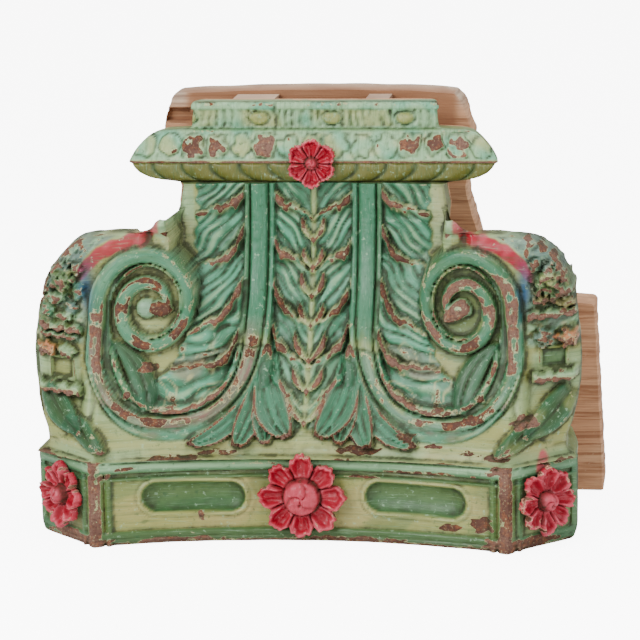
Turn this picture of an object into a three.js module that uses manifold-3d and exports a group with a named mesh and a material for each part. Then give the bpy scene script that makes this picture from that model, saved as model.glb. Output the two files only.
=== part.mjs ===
// Carved and painted timber capital with a raw board joined behind it.
// Millimetres. X to the right, Y to the back, Z up.
import * as THREE from 'three';
import { mergeVertices } from 'three/addons/utils/BufferGeometryUtils.js';
import Module from 'manifold-3d';

const wasm = await Module();
wasm.setup();

// Plinth
const plinthHalfWidth = 320;
const plinthFrontHalf = 243;
const plinthCant = 77;
const plinthRecess = 42;
const plinthHeight = 102;
const plinthBackHalf = 300;
const bottomChamfer = 12;
const coveHeight = 16;
const coveSetback = 12;

// Panels with a hollow in the plinth's front
const hollowLength = 120;
const hollowHeight = 34;
const hollowDepth = 9;
const hollowFromCentre = 130;
const hollowLevel = 54;
const panelLength = 196;
const panelTall = 78;
const grooveWidth = 5;
const grooveDepth = 4;

// Bell, the hollow-sided body between plinth and neck
const blockDepth = 249;
const blockHeight = 496;
const neckDrop = 94;
const neckTop = blockHeight - neckDrop;
const neckHalf = 158;
const neckFront = 205;
const bellFlare = 150;
const bellHalf = 240;

// Top mouldings
const edgeHalf = 220;
const edgeFront = 189;
const edgeDrop = 68;
const edgeLevel = blockHeight - edgeDrop;
const shoulderHalf = 172;
const shoulderFront = 209;
const shoulderDrop = 35;
const shoulderLevel = blockHeight - shoulderDrop;
const topHalf = 148;
const topFront = 218;

// Stems, sweeping bands and volutes
const stemFromCentre = 66;
const stemWidth = 25;
const stemHeight = 13;
const eyeFromCentre = 182;
const eyeDrop = 135;
const eyeLevel = neckTop - eyeDrop;
const eyeDepth = 90;
const eyeRadius = 12;
const faceTurn = 0.26;
const sweepFlare = 48;
const sweepLevel = 133;
const sweepOuter = 252;
const bandWidth = 26;
const bandHeight = 17;
const bandEndWidth = 7;
const spiralRadius = 58;
const spiralTurns = 1.95;
const spiralRate = 0.0759;
const spiralOffset = 0.17;
const spiralStretch = 1.12;

// Leaves
const lobeWidth = 34;
const lobeHeight = 15;
const midribWidth = 9;

// Corner masses and their ornament
const cornerHalf = 324;
const cornerSetback = 40;
const cornerDrop = 50;
const cornerTop = neckTop - cornerDrop;
const cornerBackDrop = 40;
const cornerTurn = 0.45;
const budRadius = 26;
const ledgeWidth = 46;
const ledgeHeight = 11;
const hornHeight = 24;

// Flowers nailed on
const flowerRadius = 54;
const cornerFlowerRadius = 43;
const rosetteRadius = 32;
const flowerHeight = 22;
const cornerFlowerHeight = 20;
const rosetteHeight = 17;
const bossRadius = 19;
const cornerBossRadius = 12;
const rosetteBossRadius = 8;
const flowerLevel = 56;
const rosetteDrop = 1;
const rosetteLevel = edgeLevel - rosetteDrop;
const seatClearance = 2;
const gap = 0.3;

// Board and webs behind
const boardGap = 44;
const boardThickness = 67;
const boardFootHalf = 347;
const shoulderWidth = 335;
const boardShoulder = 236;
const boardNeckHalf = 193;
const boardTopHalf = 183;
const boardTopShift = -5;
const boardArch = 5;
const notchWidth = 30;
const notchHeight = 17;
const notchDepth = 18;
const webHeight = 150;
const webLeftFrom = -103;
const webLeftWidth = 51;
const webRightFrom = 59;
const webRightWidth = 28;

const frontY = -(blockDepth + boardGap + boardThickness) / 2;

const mix = (a, b, t) => a + (b - a) * t;
const clamp01 = (t) => Math.min(1, Math.max(0, t));
const smooth = (a, b, x) => {
  const t = clamp01((x - a) / (b - a));
  return t * t * (3 - 2 * t);
};

// Depth of the bell's face: a parabola from the plinth's edge back to the neck
function bellDepth(x, z) {
  const t = clamp01((z - plinthHeight - coveHeight) / (neckTop - plinthHeight - coveHeight));
  return neckFront - bellFlare * (1 - t) ** 2 - plinthRecess * (x / plinthFrontHalf) ** 2;
}

// Depth of the face that carries the volutes and their bands
function voluteDepth(x, z) {
  const below = Math.max(0, (eyeLevel - z) / (eyeLevel - sweepLevel + 2));
  return eyeDepth - faceTurn * (Math.abs(x) - eyeFromCentre) - sweepFlare * below ** 1.5;
}

// Closed solid through a row of rings with equal numbers of points
function loft(rings) {
  const n = rings[0].length;
  const points = rings.flat();
  const faces = [];
  for (let r = 0; r + 1 < rings.length; r++) {
    for (let i = 0; i < n; i++) {
      const j = (i + 1) % n;
      faces.push([r * n + i, r * n + j, (r + 1) * n + j], [r * n + i, (r + 1) * n + j, (r + 1) * n + i]);
    }
  }
  for (const [ring, flip] of [[0, true], [rings.length - 1, false]]) {
    const hub = new THREE.Vector3();
    rings[ring].forEach((p) => hub.addScaledVector(p, 1 / n));
    const h = points.push(hub) - 1;
    for (let i = 0; i < n; i++) {
      const a = ring * n + i;
      const b = ring * n + ((i + 1) % n);
      faces.push(flip ? [h, b, a] : [h, a, b]);
    }
  }
  let volume = 0;
  for (const [a, b, c] of faces) {
    volume += points[a].dot(new THREE.Vector3().crossVectors(points[b], points[c]));
  }
  const order = volume > 0 ? faces : faces.map(([a, b, c]) => [a, c, b]);
  const geometry = new THREE.BufferGeometry();
  geometry.setAttribute('position', new THREE.Float32BufferAttribute(points.flatMap((p) => p.toArray()), 3));
  geometry.setIndex(order.flat());
  return geometry;
}

// The same shape with only positions, and each corner shared by its faces
function welded(geometry) {
  const bare = geometry.clone();
  bare.deleteAttribute('normal');
  bare.deleteAttribute('uv');
  return mergeVertices(bare, 1e-4);
}

// A closed geometry as a solid for joining and cutting
function solid(geometry) {
  const merged = welded(geometry);
  return new wasm.Manifold(new wasm.Mesh({
    numProp: 3,
    vertProperties: new Float32Array(merged.attributes.position.array),
    triVerts: new Uint32Array(merged.index.array),
  }));
}

function join(geometries) {
  return geometries.map(solid).reduce((a, b) => a.add(b));
}

function named(name, source, look) {
  const { vertProperties, triVerts } = source.getMesh();
  const geometry = new THREE.BufferGeometry();
  geometry.setAttribute('position', new THREE.BufferAttribute(new Float32Array(vertProperties), 3));
  geometry.setIndex(new THREE.BufferAttribute(new Uint32Array(triVerts), 1));
  geometry.computeVertexNormals();
  const mesh = new THREE.Mesh(geometry, new THREE.MeshStandardMaterial(look));
  mesh.name = name;
  return mesh;
}

const mirrored = (geometry) => {
  const other = welded(geometry).scale(-1, 1, 1);
  const index = other.index.array;
  for (let i = 0; i < index.length; i += 3) {
    [index[i + 1], index[i + 2]] = [index[i + 2], index[i + 1]];
  }
  return other;
};

const bothSides = (geometries) => geometries.flatMap((g) => [g, mirrored(g)]);

// Ellipsoid with its axes along X, Y and Z
function bump(x, y, z, rx, ry, rz, turn = 0) {
  return new THREE.OctahedronGeometry(1, 1).scale(rx, ry, rz).rotateY(turn).translate(x, y, z);
}

// Plan outline of the block at one level, with a hollow front and slanted corners
function planRing(level) {
  const { z, half, wide, back, front, cant, recess } = level;
  const arcSteps = 8;
  const ring = [];
  for (let i = 0; i <= arcSteps; i++) {
    const u = (2 * i) / arcSteps - 1;
    ring.push(new THREE.Vector3(u * half, front + recess * (1 - u * u), z));
  }
  ring.push(new THREE.Vector3(wide, cant, z), new THREE.Vector3(back, blockDepth, z));
  ring.push(new THREE.Vector3(-back, blockDepth, z), new THREE.Vector3(-wide, cant, z));
  return ring;
}

// Plinth outline moved inwards by a setback
function plinthRing(z, setback) {
  const slant = setback * (Math.SQRT2 - 1);
  return planRing({
    z,
    half: plinthFrontHalf - slant,
    wide: plinthHalfWidth - setback,
    back: plinthBackHalf - setback,
    front: setback,
    cant: plinthCant + slant,
    recess: plinthRecess,
  });
}

function plinth() {
  const lip = plinthHeight + coveHeight;
  return loft([
    plinthRing(0, bottomChamfer / 2),
    plinthRing(bottomChamfer, 0),
    plinthRing(plinthHeight - 3, 0),
    plinthRing(plinthHeight, 2),
    plinthRing(plinthHeight + 1, coveSetback - 2),
    plinthRing(plinthHeight + coveHeight / 2, coveSetback + 2),
    plinthRing(lip - 3, coveSetback),
    plinthRing(lip, coveSetback + 3),
    plinthRing(lip + 8, coveSetback + 16),
  ]);
}

// Bell and neck as one loft that narrows upwards
function bell() {
  const foot = plinthHeight + coveHeight / 2;
  const steps = 6;
  const rings = [];
  for (let i = 0; i <= steps; i++) {
    const t = i / steps;
    const z = mix(foot, neckTop + 4, t);
    const half = mix(bellHalf, neckHalf, t);
    const recess = plinthRecess * (half / plinthFrontHalf) ** 2;
    const front = Math.max(coveSetback + 8, bellDepth(half, z));
    rings.push(planRing({ z, half, wide: half + 5, back: half + 8, front, cant: mix(front, blockDepth, 0.4), recess }));
  }
  return loft(rings);
}

// One straight-fronted moulding ring
function mouldingRing(z, half, front) {
  return [
    new THREE.Vector3(-half, front, z),
    new THREE.Vector3(half, front, z),
    new THREE.Vector3(half, blockDepth, z),
    new THREE.Vector3(-half, blockDepth, z),
  ];
}

function topMouldings() {
  const under = [[0, neckHalf, neckFront - 2], [0.12, 0.28, 0.25], [0.45, 0.72, 0.66], [0.85, 0.93, 0.9]];
  const rings = under.map(([t, h, f], i) => mouldingRing(
    mix(neckTop - 2, edgeLevel - 2, t),
    i ? mix(neckHalf, edgeHalf, h) : h,
    i ? mix(neckFront, edgeFront, f) : f,
  ));
  rings.push(mouldingRing(edgeLevel - 1, edgeHalf, edgeFront));
  rings.push(mouldingRing(edgeLevel + 2, edgeHalf, edgeFront));
  for (const [t, out] of [[0.35, 0.8], [0.7, 0.45], [1, 0]]) {
    rings.push(mouldingRing(
      mix(edgeLevel, shoulderLevel, t),
      mix(shoulderHalf, edgeHalf, out),
      mix(shoulderFront, edgeFront, out),
    ));
  }
  rings.push(mouldingRing(shoulderLevel + 5, shoulderHalf - 4, shoulderFront + 2));
  rings.push(mouldingRing(mix(shoulderLevel, blockHeight, 0.4), mix(shoulderHalf, topHalf, 0.7), topFront));
  rings.push(mouldingRing(blockHeight - 10, topHalf + 1, topFront + 1));
  rings.push(mouldingRing(blockHeight - 8, topHalf + 3, topFront - 2));
  rings.push(mouldingRing(blockHeight, topHalf, topFront));
  return loft(rings);
}

// Gadroons under the edge, lobes above it and eggs in the top hollow
function mouldingCarving() {
  const pieces = [];
  const row = (count, half, make) => {
    for (let i = 0; i < count; i++) {
      make(half * ((2 * (i + 0.5)) / count - 1));
    }
  };
  row(12, edgeHalf - 12, (x) => pieces.push(
    bump(x, edgeFront + 9, edgeLevel - 14, 16, 9, 9, -0.25),
  ));
  row(10, edgeHalf - 22, (x) => pieces.push(
    bump(x * 0.93, mix(shoulderFront, edgeFront, 0.5) + 2, mix(edgeLevel, shoulderLevel, 0.45), 17, 9, 14),
  ));
  row(4, topHalf + 12, (x) => pieces.push(
    bump(x, topFront + 1, mix(shoulderLevel, blockHeight, 0.5), 12, 7, 12),
  ));
  return pieces;
}

// Route of one stem, its sweep round the foot and the volute's coil, seen from the front
function bandRoute() {
  const route = [];
  const stemFoot = mix(sweepLevel, eyeLevel, 0.85);
  for (let i = 0; i <= 3; i++) {
    route.push([stemFromCentre, mix(neckTop, stemFoot, i / 3)]);
  }
  const middle = (stemFromCentre + sweepOuter) / 2;
  const reach = (sweepOuter - stemFromCentre) / 2;
  const drop = stemFoot - sweepLevel;
  const sweepSteps = 13;
  for (let i = 1; i <= sweepSteps; i++) {
    const a = (Math.PI * i) / sweepSteps;
    const flat = Math.abs(Math.cos(a)) ** 0.85 * Math.sign(Math.cos(a));
    const level = i === sweepSteps ? 0 : Math.sin(a) ** 0.8;
    route.push([middle - reach * flat, stemFoot - drop * level + (eyeLevel - stemFoot) * (i / sweepSteps) ** 4]);
  }
  const coilSteps = Math.round(spiralTurns * 13);
  for (let i = 1; i <= coilSteps; i++) {
    const a = (2 * Math.PI * spiralTurns * i) / coilSteps;
    const r = spiralRadius * Math.exp(-spiralRate * a);
    const outward = r * (Math.cos(a) + spiralOffset);
    route.push([eyeFromCentre + outward, eyeLevel + r * Math.sin(a) * spiralStretch]);
  }
  return { route, stemRings: 4, sweepRings: sweepSteps };
}

// The band itself: a rounded strip that follows the route and narrows into the eye
function band() {
  const { route, stemRings, sweepRings } = bandRoute();
  const coilStart = stemRings + sweepRings;
  const rings = route.map(([x, z], i) => {
    const before = route[Math.max(0, i - 1)];
    const after = route[Math.min(route.length - 1, i + 1)];
    const along = new THREE.Vector2(after[0] - before[0], after[1] - before[1]).normalize();
    const coil = clamp01((i - coilStart) / (route.length - 1 - coilStart));
    const toSweep = smooth(stemRings - 2, stemRings + 4, i);
    const width = i < stemRings ? stemWidth : mix(bandWidth, bandEndWidth, coil ** 0.7);
    const height = mix(stemHeight, mix(bandHeight, bandHeight * 0.7, coil), toSweep);
    const base = mix(bellDepth(x, z) + 4, voluteDepth(x, z) + bandHeight - 2, toSweep);
    return [[-1, -0.5], [-0.9, 0.5], [0, 1], [0.9, 0.5], [1, -0.5]].map(([a, b]) => new THREE.Vector3(
      x - along.y * a * width * 0.5,
      base - b * height,
      z + along.x * a * width * 0.5,
    ));
  });
  return loft(rings);
}

// Mass behind a volute: the channel floor in front, the slanted corner outside
function cornerMass() {
  const floor = (x, z) => voluteDepth(x, z) + bandHeight;
  const levels = [
    [0, 0.95, 0.4], [0.06, 0.945, 0.33], [0.13, 0.965, 0.31], [0.3, 0.994, 0.33], [0.47, 1, 0.41],
    [0.62, 0.99, 0.43], [0.74, 0.978, 0.43], [0.84, 0.957, 0.44], [0.92, 0.922, 0.45], [0.97, 0.877, 0.47],
    [1, 0.827, 0.5],
  ];
  return loft(levels.map(([share, outer, inner]) => {
    const z = mix(plinthHeight + coveHeight / 2, cornerTop, share);
    const wide = cornerHalf * outer;
    const near = cornerHalf * inner;
    const turn = Math.min(wide - 12, sweepOuter + bandWidth * 0.45);
    const setback = mix(coveSetback + 8, cornerSetback, smooth(0.04, 0.3, share));
    const slant = Math.max(floor(turn, z), turn - plinthFrontHalf + setback * Math.SQRT2);
    const side = slant + (wide - turn) * cornerTurn;
    const middle = (near + turn) / 2;
    const backZ = z - cornerBackDrop * smooth(0.7, 1, share);
    return [
      new THREE.Vector3(near, floor(near, z), z),
      new THREE.Vector3(middle, floor(middle, z), z),
      new THREE.Vector3(turn, floor(turn, z), z),
      new THREE.Vector3(wide, side, z),
      new THREE.Vector3(wide - 18, blockDepth, backZ),
      new THREE.Vector3(near, blockDepth, backZ),
    ];
  }));
}

// A leaf lobe from root to tip on a face, its tip curled forward
function lobe(root, tip, face, width = lobeWidth, height = lobeHeight, sag = 0.18) {
  const along = new THREE.Vector2(tip[0] - root[0], tip[1] - root[1]);
  const length = along.length();
  along.normalize();
  const steps = [0, 0.4, 0.8, 1];
  const widths = [0.45, 0.95, 0.8, 0.14];
  const heights = [0.3, 0.6, 1, 0.9];
  return loft(steps.map((t, i) => {
    const bow = sag * length * Math.sin(Math.PI * t);
    const x = mix(root[0], tip[0], t) + along.y * bow;
    const z = mix(root[1], tip[1], t) - along.x * bow;
    const w = width * widths[i] * 0.5;
    const h = height * heights[i];
    const y = face(x, z);
    return [[-1, 0], [-0.4, 0.85], [0.3, 1], [1, 0]].map(([a, b]) => new THREE.Vector3(
      x - along.y * a * w,
      b > 0.5 ? y - b * h : y + 8,
      z + along.x * a * w,
    ));
  }));
}

// Half of the middle leaf and one outer leaf, with their fans at the foot
function leaves() {
  const pieces = [];
  const tall = neckTop - plinthHeight;
  const level = (share) => plinthHeight + share * tall;
  const tipNear = stemFromCentre - stemWidth * 0.62;
  const tipFar = stemFromCentre + stemWidth * 0.95;
  for (const [root, tip] of [[0.79, 0.95], [0.62, 0.8], [0.46, 0.65], [0.3, 0.47], [0.17, 0.33]]) {
    pieces.push(lobe([5, level(root)], [tipNear, level(tip)], bellDepth));
  }
  const outerRoot = stemFromCentre + 72;
  const outerFace = (x, z) => {
    const swept = Math.min(bellDepth(x, z), voluteDepth(x, z) + bandHeight);
    return mix(bellDepth(x, z), swept, smooth(cornerTop - 40, eyeLevel - 39, z));
  };
  for (const [x, root, tip, far, wide] of [
    [0, 0.84, 0.95, 0, 1.1], [2, 0.66, 0.8, 0, 1.3], [6, 0.42, 0.61, 0, 1.4], [8, 0.27, 0.4, 0, 1.4],
    [32, 0.17, 0.25, 12, 1.2],
  ]) {
    pieces.push(lobe([outerRoot + x, level(root)], [tipFar + far, level(tip)], outerFace, lobeWidth * wide));
  }
  const fanFace = (x, z) => bellDepth(x, z) - 6;
  for (const [fromX, toX, toZ] of [[20, 13, 0.09], [34, 30, 0.06], [48, 52, 0.045], [58, 74, 0.05], [70, 98, 0.055]]) {
    pieces.push(lobe([fromX, level(0.24)], [toX, level(toZ)], fanFace, lobeWidth * 0.75, lobeHeight, 0.04));
  }
  pieces.push(lobe([stemFromCentre - 14, level(0.2)], [stemFromCentre - 15, level(0.38)], bellDepth, 20, 16, 0));
  return pieces;
}

// Narrow stalk up the middle with pairs of small bracts
function midrib() {
  const steps = 5;
  const rings = [];
  for (let i = 0; i <= steps; i++) {
    const z = mix(plinthHeight + coveHeight + 14, neckTop, i / steps);
    const y = bellDepth(0, z);
    rings.push([[-1, 6], [-0.6, -6], [0.6, -6], [1, 6]].map(([a, b]) => (
      new THREE.Vector3(a * midribWidth * 0.5, y + b, z))));
  }
  const bracts = [];
  for (const share of [0.15, 0.29, 0.44, 0.58]) {
    const z = plinthHeight + share * (neckTop - plinthHeight);
    bracts.push(lobe([0, z], [15, z + 24], bellDepth, 10, 13, 0.1));
  }
  return { stalk: loft(rings), bracts };
}

// Carving on the slanted corner: a bud, stepped ledges, a leaf pair and a horn on top
function cornerOrnament() {
  const midX = (sweepOuter + cornerHalf) / 2 + 6;
  const faceY = (z) => voluteDepth(sweepOuter, z) + bandHeight + 10;
  const turned = (geometry, y, z) => geometry.rotateZ(Math.PI / 4).translate(midX, y, z);
  const level = (share) => mix(plinthHeight, eyeLevel, share);
  const pieces = [];
  for (const [dx, share, size] of [[0, 1.18, 1], [-20, 1.34, 0.65], [14, 1, 0.65], [-16, 1.02, 0.6]]) {
    const z = level(share);
    pieces.push(bump(midX + dx, faceY(z) + dx * 0.3, z, budRadius * size, budRadius * size * 0.8, budRadius * size));
  }
  for (const share of [0.88, 0.7]) {
    for (const side of [-1, 1]) {
      const ledge = turned(new THREE.BoxGeometry(ledgeWidth * 0.42, 26, ledgeHeight), 0, 0);
      const shift = (side * ledgeWidth * 0.26) / Math.SQRT2;
      ledge.translate(shift, faceY(level(share)) + 4 + shift, level(share));
      pieces.push(ledge);
    }
  }
  const shelf = turned(new THREE.BoxGeometry(ledgeWidth * 0.8, 24, ledgeHeight * 0.7), faceY(level(0.48)) + 4, level(0.48));
  pieces.push(shelf);
  const leafFace = (x, z) => Math.max(x - plinthFrontHalf, 0) + coveSetback + 14 + (z - plinthHeight) * 0.45;
  pieces.push(lobe([midX - 44, level(0.14)], [midX + 4, level(0.42)], leafFace, 32, 14, -0.1));
  pieces.push(lobe([midX - 52, level(0.08)], [midX - 18, level(0.26)], leafFace, 26, 12, -0.1));
  return pieces;
}

// Flame on the corner's top, with its tip turned up beside the neck
function horn() {
  const steps = 8;
  const rings = [];
  for (let i = 0; i <= steps; i++) {
    const t = i / steps;
    const x = mix(cornerHalf * 0.8, neckHalf + 10, t);
    const z = cornerTop - 16 + 12 * Math.sin(Math.PI * t) + hornHeight * smooth(0.7, 1, t);
    const r = mix(24, 7, t ** 2);
    const y = eyeDepth + 34;
    rings.push([0, 1, 2, 3, 4, 5].map((k) => {
      const a = (k * Math.PI) / 3;
      return new THREE.Vector3(x - r * 0.5 * Math.sin(a) * t, y + r * Math.cos(a), z + r * 0.7 * Math.sin(a));
    }));
  }
  return loft(rings);
}

// Shape with round ends, for the long hollows
function roundEnded(length, height) {
  const r = height / 2;
  const shape = new THREE.Shape();
  shape.absarc(length / 2 - r, 0, r, -Math.PI / 2, Math.PI / 2, false);
  shape.absarc(-length / 2 + r, 0, r, Math.PI / 2, (3 * Math.PI) / 2, false);
  return shape;
}

// Square groove that frames a panel
function panelFrame() {
  const rectangle = (target, length, height) => {
    target.moveTo(-length / 2, -height / 2);
    target.lineTo(length / 2, -height / 2);
    target.lineTo(length / 2, height / 2);
    target.lineTo(-length / 2, height / 2);
    target.closePath();
    return target;
  };
  const shape = rectangle(new THREE.Shape(), panelLength, panelTall);
  shape.holes.push(rectangle(new THREE.Path(), panelLength - 2 * grooveWidth, panelTall - 2 * grooveWidth));
  return shape;
}

// Cut of even depth into the plinth's hollow front, with a shape's outline
function frontCut(shape, centre, depth) {
  const through = new THREE.ExtrudeGeometry(shape, { depth: 120, bevelEnabled: false, curveSegments: 6 });
  through.rotateX(Math.PI / 2).translate(centre, 80, hollowLevel);
  const steps = 8;
  const plan = [];
  for (let i = 0; i <= steps; i++) {
    const u = (2 * i) / steps - 1;
    plan.push([u * plinthFrontHalf, plinthRecess * (1 - u * u) + depth]);
  }
  plan.push([plinthFrontHalf, -30], [-plinthFrontHalf, -30]);
  const outline = new THREE.Shape(plan.map(([x, y]) => new THREE.Vector2(x, y)));
  const skin = new THREE.ExtrudeGeometry(outline, { depth: plinthHeight, bevelEnabled: false });
  return solid(through).intersect(solid(skin));
}

// Cupped petals round a boss, flat behind, lying in X and Y with the front up.
// Each ring is [share of the radius, how far it follows the petals, height at a petal's middle and side].
function flower({ radius, height, petals, boss, rings }) {
  const perPetal = 4;
  const count = petals * perPetal;
  return loft(rings.map(([share, scallop, middle, side, twist = 0]) => {
    const ring = [];
    for (let i = 0; i < count; i++) {
      const a = (2 * Math.PI * i) / count + Math.PI / 2;
      const open = Math.abs(Math.cos((petals * (a + twist - Math.PI / 2)) / 2));
      const r = (boss + (radius - boss) * share) * (1 - scallop * (1 - open) ** 1.5);
      ring.push(new THREE.Vector3(r * Math.cos(a), r * Math.sin(a), height * mix(side, middle, open)));
    }
    return ring;
  }));
}

// Rings of a one-layer flower, from the flat back round the edge and up the boss
const petalRings = [
  [0.93, 0.2, 0, 0], [1, 0.2, 0.4, 0.3], [0.88, 0.16, 0.62, 0.42], [0.5, 0.02, 0.3, 0.5], [0, 0, 0.22, 0.3],
  [-0.1, 0, 0.7, 0.7], [-0.3, 0, 1, 1],
];

// Rings of the rosette, whose upper petals stand between the lower ones
const between = Math.PI / 6;
const rosetteRings = [
  [0.93, 0.2, 0, 0], [1, 0.2, 0.35, 0.25], [0.8, 0.12, 0.5, 0.35], [0.62, 0.16, 0.62, 0.5, between],
  [0.5, 0.12, 0.85, 0.6, between], [0.15, 0, 0.5, 0.55, between], [0, 0, 0.8, 0.8], [-0.15, 0, 1, 1],
];

// Turn a flower's flat back to face the block: front towards -Y, then round by a yaw
function placed(source, x, y, z, yaw) {
  return solid(source.clone().rotateX(Math.PI / 2).rotateZ(yaw).translate(x, y, z));
}

// Round flat seat for a flower, cut into the face behind it
function seatCut(radius, x, y, z, yaw) {
  const cut = new THREE.CylinderGeometry(radius + seatClearance, radius + seatClearance, 60, 28);
  cut.translate(0, -30, 0).rotateZ(yaw).translate(x, y, z);
  return cut;
}

const greenPaint = { color: 0x7d9a68, roughness: 0.55, metalness: 0 };
const redPaint = { color: 0xb02a3c, roughness: 0.5, metalness: 0 };
const rawWood = { color: 0x94694a, roughness: 0.85, metalness: 0 };
const greyWood = { color: 0xa9988a, roughness: 0.9, metalness: 0 };

const cantX = (plinthFrontHalf + plinthHalfWidth) / 2;
const cantY = plinthCant / 2;
const cantYaw = Math.PI / 4;
const seatDepth = plinthRecess;

const { stalk, bracts } = midrib();
const carved = join([
  plinth(), bell(), topMouldings(), ...mouldingCarving(), stalk,
  ...bothSides([band(), cornerMass(), horn(), ...leaves(), ...bracts, ...cornerOrnament()]),
  ...bothSides([bump(
    eyeFromCentre,
    voluteDepth(eyeFromCentre, eyeLevel) + bandHeight - 4,
    eyeLevel,
    eyeRadius,
    bandHeight * 0.8,
    eyeRadius,
  )]),
  new THREE.CylinderGeometry(rosetteRadius * 0.6, rosetteRadius * 0.6, 30, 16)
    .translate(0, edgeFront + 15, rosetteLevel),
]);
const cuts = [
  ...[1, -1].flatMap((side) => [
    frontCut(roundEnded(hollowLength, hollowHeight), side * hollowFromCentre, hollowDepth),
    frontCut(panelFrame(), side * hollowFromCentre, grooveDepth),
  ]),
  solid(seatCut(flowerRadius, 0, seatDepth, flowerLevel, 0)),
  solid(seatCut(cornerFlowerRadius, cantX, cantY, flowerLevel, cantYaw)),
  solid(seatCut(cornerFlowerRadius, -cantX, cantY, flowerLevel, -cantYaw)),
];
const block = cuts.reduce((a, b) => a.subtract(b), carved);

const faceFlower = flower({
  radius: flowerRadius, height: flowerHeight, petals: 8, boss: bossRadius, rings: petalRings });
const smallFlower = flower({
  radius: cornerFlowerRadius, height: cornerFlowerHeight, petals: 8, boss: cornerBossRadius, rings: petalRings });
const rosette = flower({
  radius: rosetteRadius, height: rosetteHeight, petals: 6, boss: rosetteBossRadius, rings: rosetteRings });

// Board behind, with a shoulder each side and a lap notch at its upper left
function backBoard() {
  const outline = new THREE.Shape();
  outline.moveTo(-boardFootHalf, 0);
  outline.lineTo(boardFootHalf, 0);
  outline.lineTo(shoulderWidth, boardShoulder);
  outline.lineTo(boardNeckHalf + 18, boardShoulder + 8);
  outline.lineTo(boardNeckHalf - 16, mix(boardShoulder, blockHeight, 0.56));
  outline.lineTo(boardNeckHalf, mix(boardShoulder, blockHeight, 0.82));
  outline.lineTo(boardTopHalf + boardTopShift, blockHeight);
  outline.quadraticCurveTo(0, blockHeight + 2 * boardArch, boardTopShift - boardTopHalf, blockHeight);
  outline.lineTo(-boardNeckHalf, mix(boardShoulder, blockHeight, 0.82));
  outline.lineTo(-boardNeckHalf + 16, mix(boardShoulder, blockHeight, 0.56));
  outline.lineTo(-boardNeckHalf - 18, boardShoulder + 8);
  outline.lineTo(-shoulderWidth, boardShoulder);
  const board = new THREE.ExtrudeGeometry(outline, { depth: boardThickness, bevelEnabled: false, curveSegments: 8 });
  board.rotateX(Math.PI / 2).translate(0, blockDepth + boardGap + boardThickness, 0);
  const notch = new THREE.BoxGeometry(2 * notchWidth, 2 * notchDepth, notchHeight);
  notch.translate(-boardNeckHalf, blockDepth + boardGap, mix(boardShoulder, blockHeight, 0.9));
  return solid(board).subtract(solid(notch));
}

function web(from, width) {
  const box = new THREE.BoxGeometry(width, boardGap - 2 * gap, webHeight);
  box.translate(from + width / 2, blockDepth + boardGap / 2, blockHeight - webHeight / 2);
  return solid(box);
}

const group = new THREE.Group();
group.position.y = frontY;
group.add(
  named('carved_front', block, greenPaint),
  named('back_board', backBoard(), rawWood),
  named('web_left', web(webLeftFrom, webLeftWidth), greyWood),
  named('web_right', web(webRightFrom, webRightWidth), greyWood),
  named('flower_centre', placed(faceFlower, 0, seatDepth - gap, flowerLevel, 0), redPaint),
  named('flower_left', placed(
    smallFlower, -cantX - gap, cantY - gap, flowerLevel, -cantYaw), redPaint),
  named('flower_right', placed(
    smallFlower, cantX + gap, cantY - gap, flowerLevel, cantYaw), redPaint),
  named('rosette_top', placed(rosette, 0, edgeFront - gap, rosetteLevel, 0), redPaint),
);

export default group;
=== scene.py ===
import math
import bpy
import numpy as np
from mathutils import Matrix, Vector


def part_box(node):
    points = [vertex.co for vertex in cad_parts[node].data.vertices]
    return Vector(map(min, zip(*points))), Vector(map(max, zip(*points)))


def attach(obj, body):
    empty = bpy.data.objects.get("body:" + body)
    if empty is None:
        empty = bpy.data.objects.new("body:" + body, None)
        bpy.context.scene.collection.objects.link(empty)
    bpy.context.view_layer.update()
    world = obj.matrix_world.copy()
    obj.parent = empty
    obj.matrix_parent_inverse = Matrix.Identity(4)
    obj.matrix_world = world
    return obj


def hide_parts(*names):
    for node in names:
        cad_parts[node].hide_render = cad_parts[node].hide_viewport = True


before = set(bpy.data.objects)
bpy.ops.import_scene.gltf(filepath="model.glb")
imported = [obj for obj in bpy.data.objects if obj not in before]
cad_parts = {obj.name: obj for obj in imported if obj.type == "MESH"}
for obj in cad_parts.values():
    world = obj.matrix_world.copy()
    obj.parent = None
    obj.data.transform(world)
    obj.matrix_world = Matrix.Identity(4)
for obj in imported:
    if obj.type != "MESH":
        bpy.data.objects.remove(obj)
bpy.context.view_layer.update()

print("frame loaded, pieces:", sorted(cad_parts))

mm = 0.001
blockLow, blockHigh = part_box("carved_front")
frontY = blockLow.y  # the plinth's front corners
blockDeep = (blockHigh.y - blockLow.y) / mm
blockTall = (blockHigh.z - blockLow.z) / mm


# Number helpers

def mixOf(a, b, t):
    # straight mix: a at 0, b at 1
    return a + (b - a) * t


def ease(a, b, x):
    # cubic step: 0 at a, 1 at b
    t = np.clip((x - a) / (b - a), 0.0, 1.0)
    return t * t * (3.0 - 2.0 * t)


def rib(d, half):
    # round bar across its width: square root of one less the square of the distance share
    return np.sqrt(np.clip(1.0 - (d / half) ** 2, 0.0, 1.0))


def rolled(d, radius):
    # quarter round: one less the square root of one less the square of the distance share
    share = np.clip(d / radius, 0.0, 1.0)
    return 1.0 - np.sqrt(1.0 - share ** 2)


def hill(d, reach):
    # bell curve: e to the minus square of the distance share
    return np.exp(-((d / reach) ** 2))


def lumps(x, z, size, seed):
    # uneven field between about -1 and 1: nine sine waves in seeded directions
    rng = np.random.default_rng(seed)
    total = np.zeros(np.broadcast(x, z).shape)
    for _ in range(9):
        angle = rng.uniform(0, math.pi)
        wave = 2 * math.pi / (size * rng.uniform(0.55, 1.7))
        total = total + np.sin((x * math.cos(angle) + z * math.sin(angle)) * wave + rng.uniform(0, 7))
    return total / 4.2


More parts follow.
